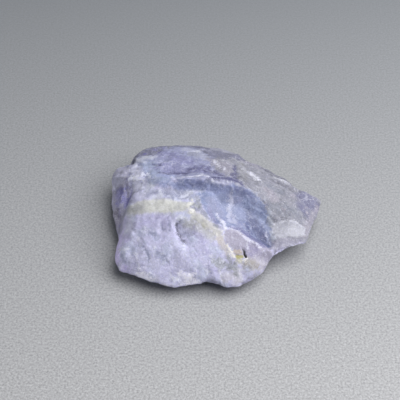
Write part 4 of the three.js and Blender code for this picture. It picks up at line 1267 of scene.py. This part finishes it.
# where the floor's painted light falloff starts and ends along the depth
NEAR_EDGE = -0.045  # where the floor's tone stops growing paler towards the camera
FAR_EDGE = 0.075  # where it stops growing darker towards the back
FLOOR_GRAIN = 0.45  # size of the floor's speckle, in mm
FLOOR_SWING = 0.42  # how far the speckle's tone swings in front, as a share
FAR_SWING = 0.25  # what is left of that swing at the back
FLOOR_ROUGHNESS = 0.85


def make_floor(scene, settings):
    """A plain floor, level with the stone's flat base, with a fine speckle and painted light falloff:
    painted paler in front and greyer behind.
    """
    half = FLOOR_SIDE / 2
    corners = [(-half, -half, 0), (half, -half, 0), (half, half, 0), (-half, half, 0)]
    mesh = bpy.data.meshes.new("floor")
    mesh.from_pydata(corners, [], [(0, 1, 2, 3)])
    material = bpy.data.materials.new("floor_pale")
    material.use_nodes = True
    tree = material.node_tree
    shader = tree.nodes["Principled BSDF"]
    position = add_node(tree, "ShaderNodeTexCoord").outputs["Object"]
    depth = add_node(tree, "ShaderNodeSeparateXYZ", {"Vector": position}).outputs["Y"]
    near_and_far = (as_rgba(settings.floor_near_painted_light), as_rgba(settings.floor_far_painted_shade))
    # painted light falloff: the floor's tone goes from the pale near colour to the grey far one along the
    # depth
    painted_falloff = mixed_colour(tree, ramp(tree, depth, NEAR_EDGE, FAR_EDGE), *near_and_far)
    speckle = noise(tree, position, FLOOR_GRAIN, roughness=0.8)["Fac"]
    speckle = swing(tree, speckle, NOISE_SPAN, FLOOR_SWING, middle=1.0)
    speckled = mixed_colour(tree, 1.0, painted_falloff, speckle, blend="MULTIPLY")
    reach = ramp(tree, depth, NEAR_EDGE, FAR_EDGE, 1.0, FAR_SWING)
    tree.links.new(mixed_colour(tree, reach, painted_falloff, speckled), shader.inputs["Base Color"])
    shader.inputs["Roughness"].default_value = FLOOR_ROUGHNESS
    mesh.materials.append(material)
    floor = bpy.data.objects.new("floor", mesh)
    scene.collection.objects.link(floor)


def make_lights(scene, settings):
    """One large square light overhead to the right, a weak one low on the left, and an even pale world."""
    lights = {
        "key": (KEY_PLACE, KEY_SIDE, settings.key_power),
        "bounce": (BOUNCE_PLACE, BOUNCE_SIDE, settings.bounce_power),
    }
    for name, (place, side, power) in lights.items():
        light = bpy.data.lights.new(name, "AREA")
        light.shape = "SQUARE"
        light.size = side
        light.energy = power
        holder = bpy.data.objects.new(name, light)
        holder.location = place
        holder.rotation_euler = place.to_track_quat("Z", "Y").to_euler()
        scene.collection.objects.link(holder)
    world = bpy.data.worlds.new("world")
    world.use_nodes = True
    background = world.node_tree.nodes["Background"]
    background.inputs["Color"].default_value = as_rgba(settings.sky)
    background.inputs["Strength"].default_value = settings.fill
    scene.world = world


def make_camera(scene, settings):
    """A camera that looks along +Y and down at the stone from its elevation."""
    camera = bpy.data.cameras.new("camera")
    camera.sensor_width = SENSOR_WIDTH
    camera.lens = settings.focal_length
    back = Vector((0.0, -math.cos(settings.elevation), math.sin(settings.elevation)))
    holder = bpy.data.objects.new("camera", camera)
    holder.location = AIM * PLACE + back * settings.distance
    holder.rotation_euler = (-back).to_track_quat("-Z", "Y").to_euler()
    scene.collection.objects.link(holder)
    scene.camera = holder


class HACKMANITE_PT_panel(bpy.types.Panel):
    """The stone's steps and settings, in the 3D view's sidebar"""

    bl_idname = "HACKMANITE_PT_panel"
    bl_label = "Hackmanite"
    bl_space_type = "VIEW_3D"
    bl_region_type = "UI"
    bl_category = "Hackmanite"

    def draw(self, context):
        for operator in (HACKMANITE_OT_stone, HACKMANITE_OT_stage):
            self.layout.operator(operator.bl_idname)
        for group in (context.scene.stone_shape, context.scene.stone_colours, context.scene.stone_stage):
            column = self.layout.column()
            for name in group.__annotations__:
                column.prop(group, name)


CLASSES = (
    StoneShape,
    StoneColours,
    StageSettings,
    HACKMANITE_OT_stone,
    HACKMANITE_OT_stage,
    HACKMANITE_PT_panel,
)


def register():
    """Makes the classes and their settings known to Blender."""
    for cls in CLASSES:
        bpy.utils.register_class(cls)
    bpy.types.Scene.stone_shape = PointerProperty(type=StoneShape)
    bpy.types.Scene.stone_colours = PointerProperty(type=StoneColours)
    bpy.types.Scene.stone_stage = PointerProperty(type=StageSettings)


def unregister():
    """Takes back what register did."""
    for name in ("stone_shape", "stone_colours", "stone_stage"):
        delattr(bpy.types.Scene, name)
    for cls in reversed(CLASSES):
        bpy.utils.unregister_class(cls)


def main():
    """Builds the stone and its stage."""
    register()
    bpy.ops.hackmanite.stone()
    bpy.ops.hackmanite.stage()


if __name__ == "__main__":
    main()
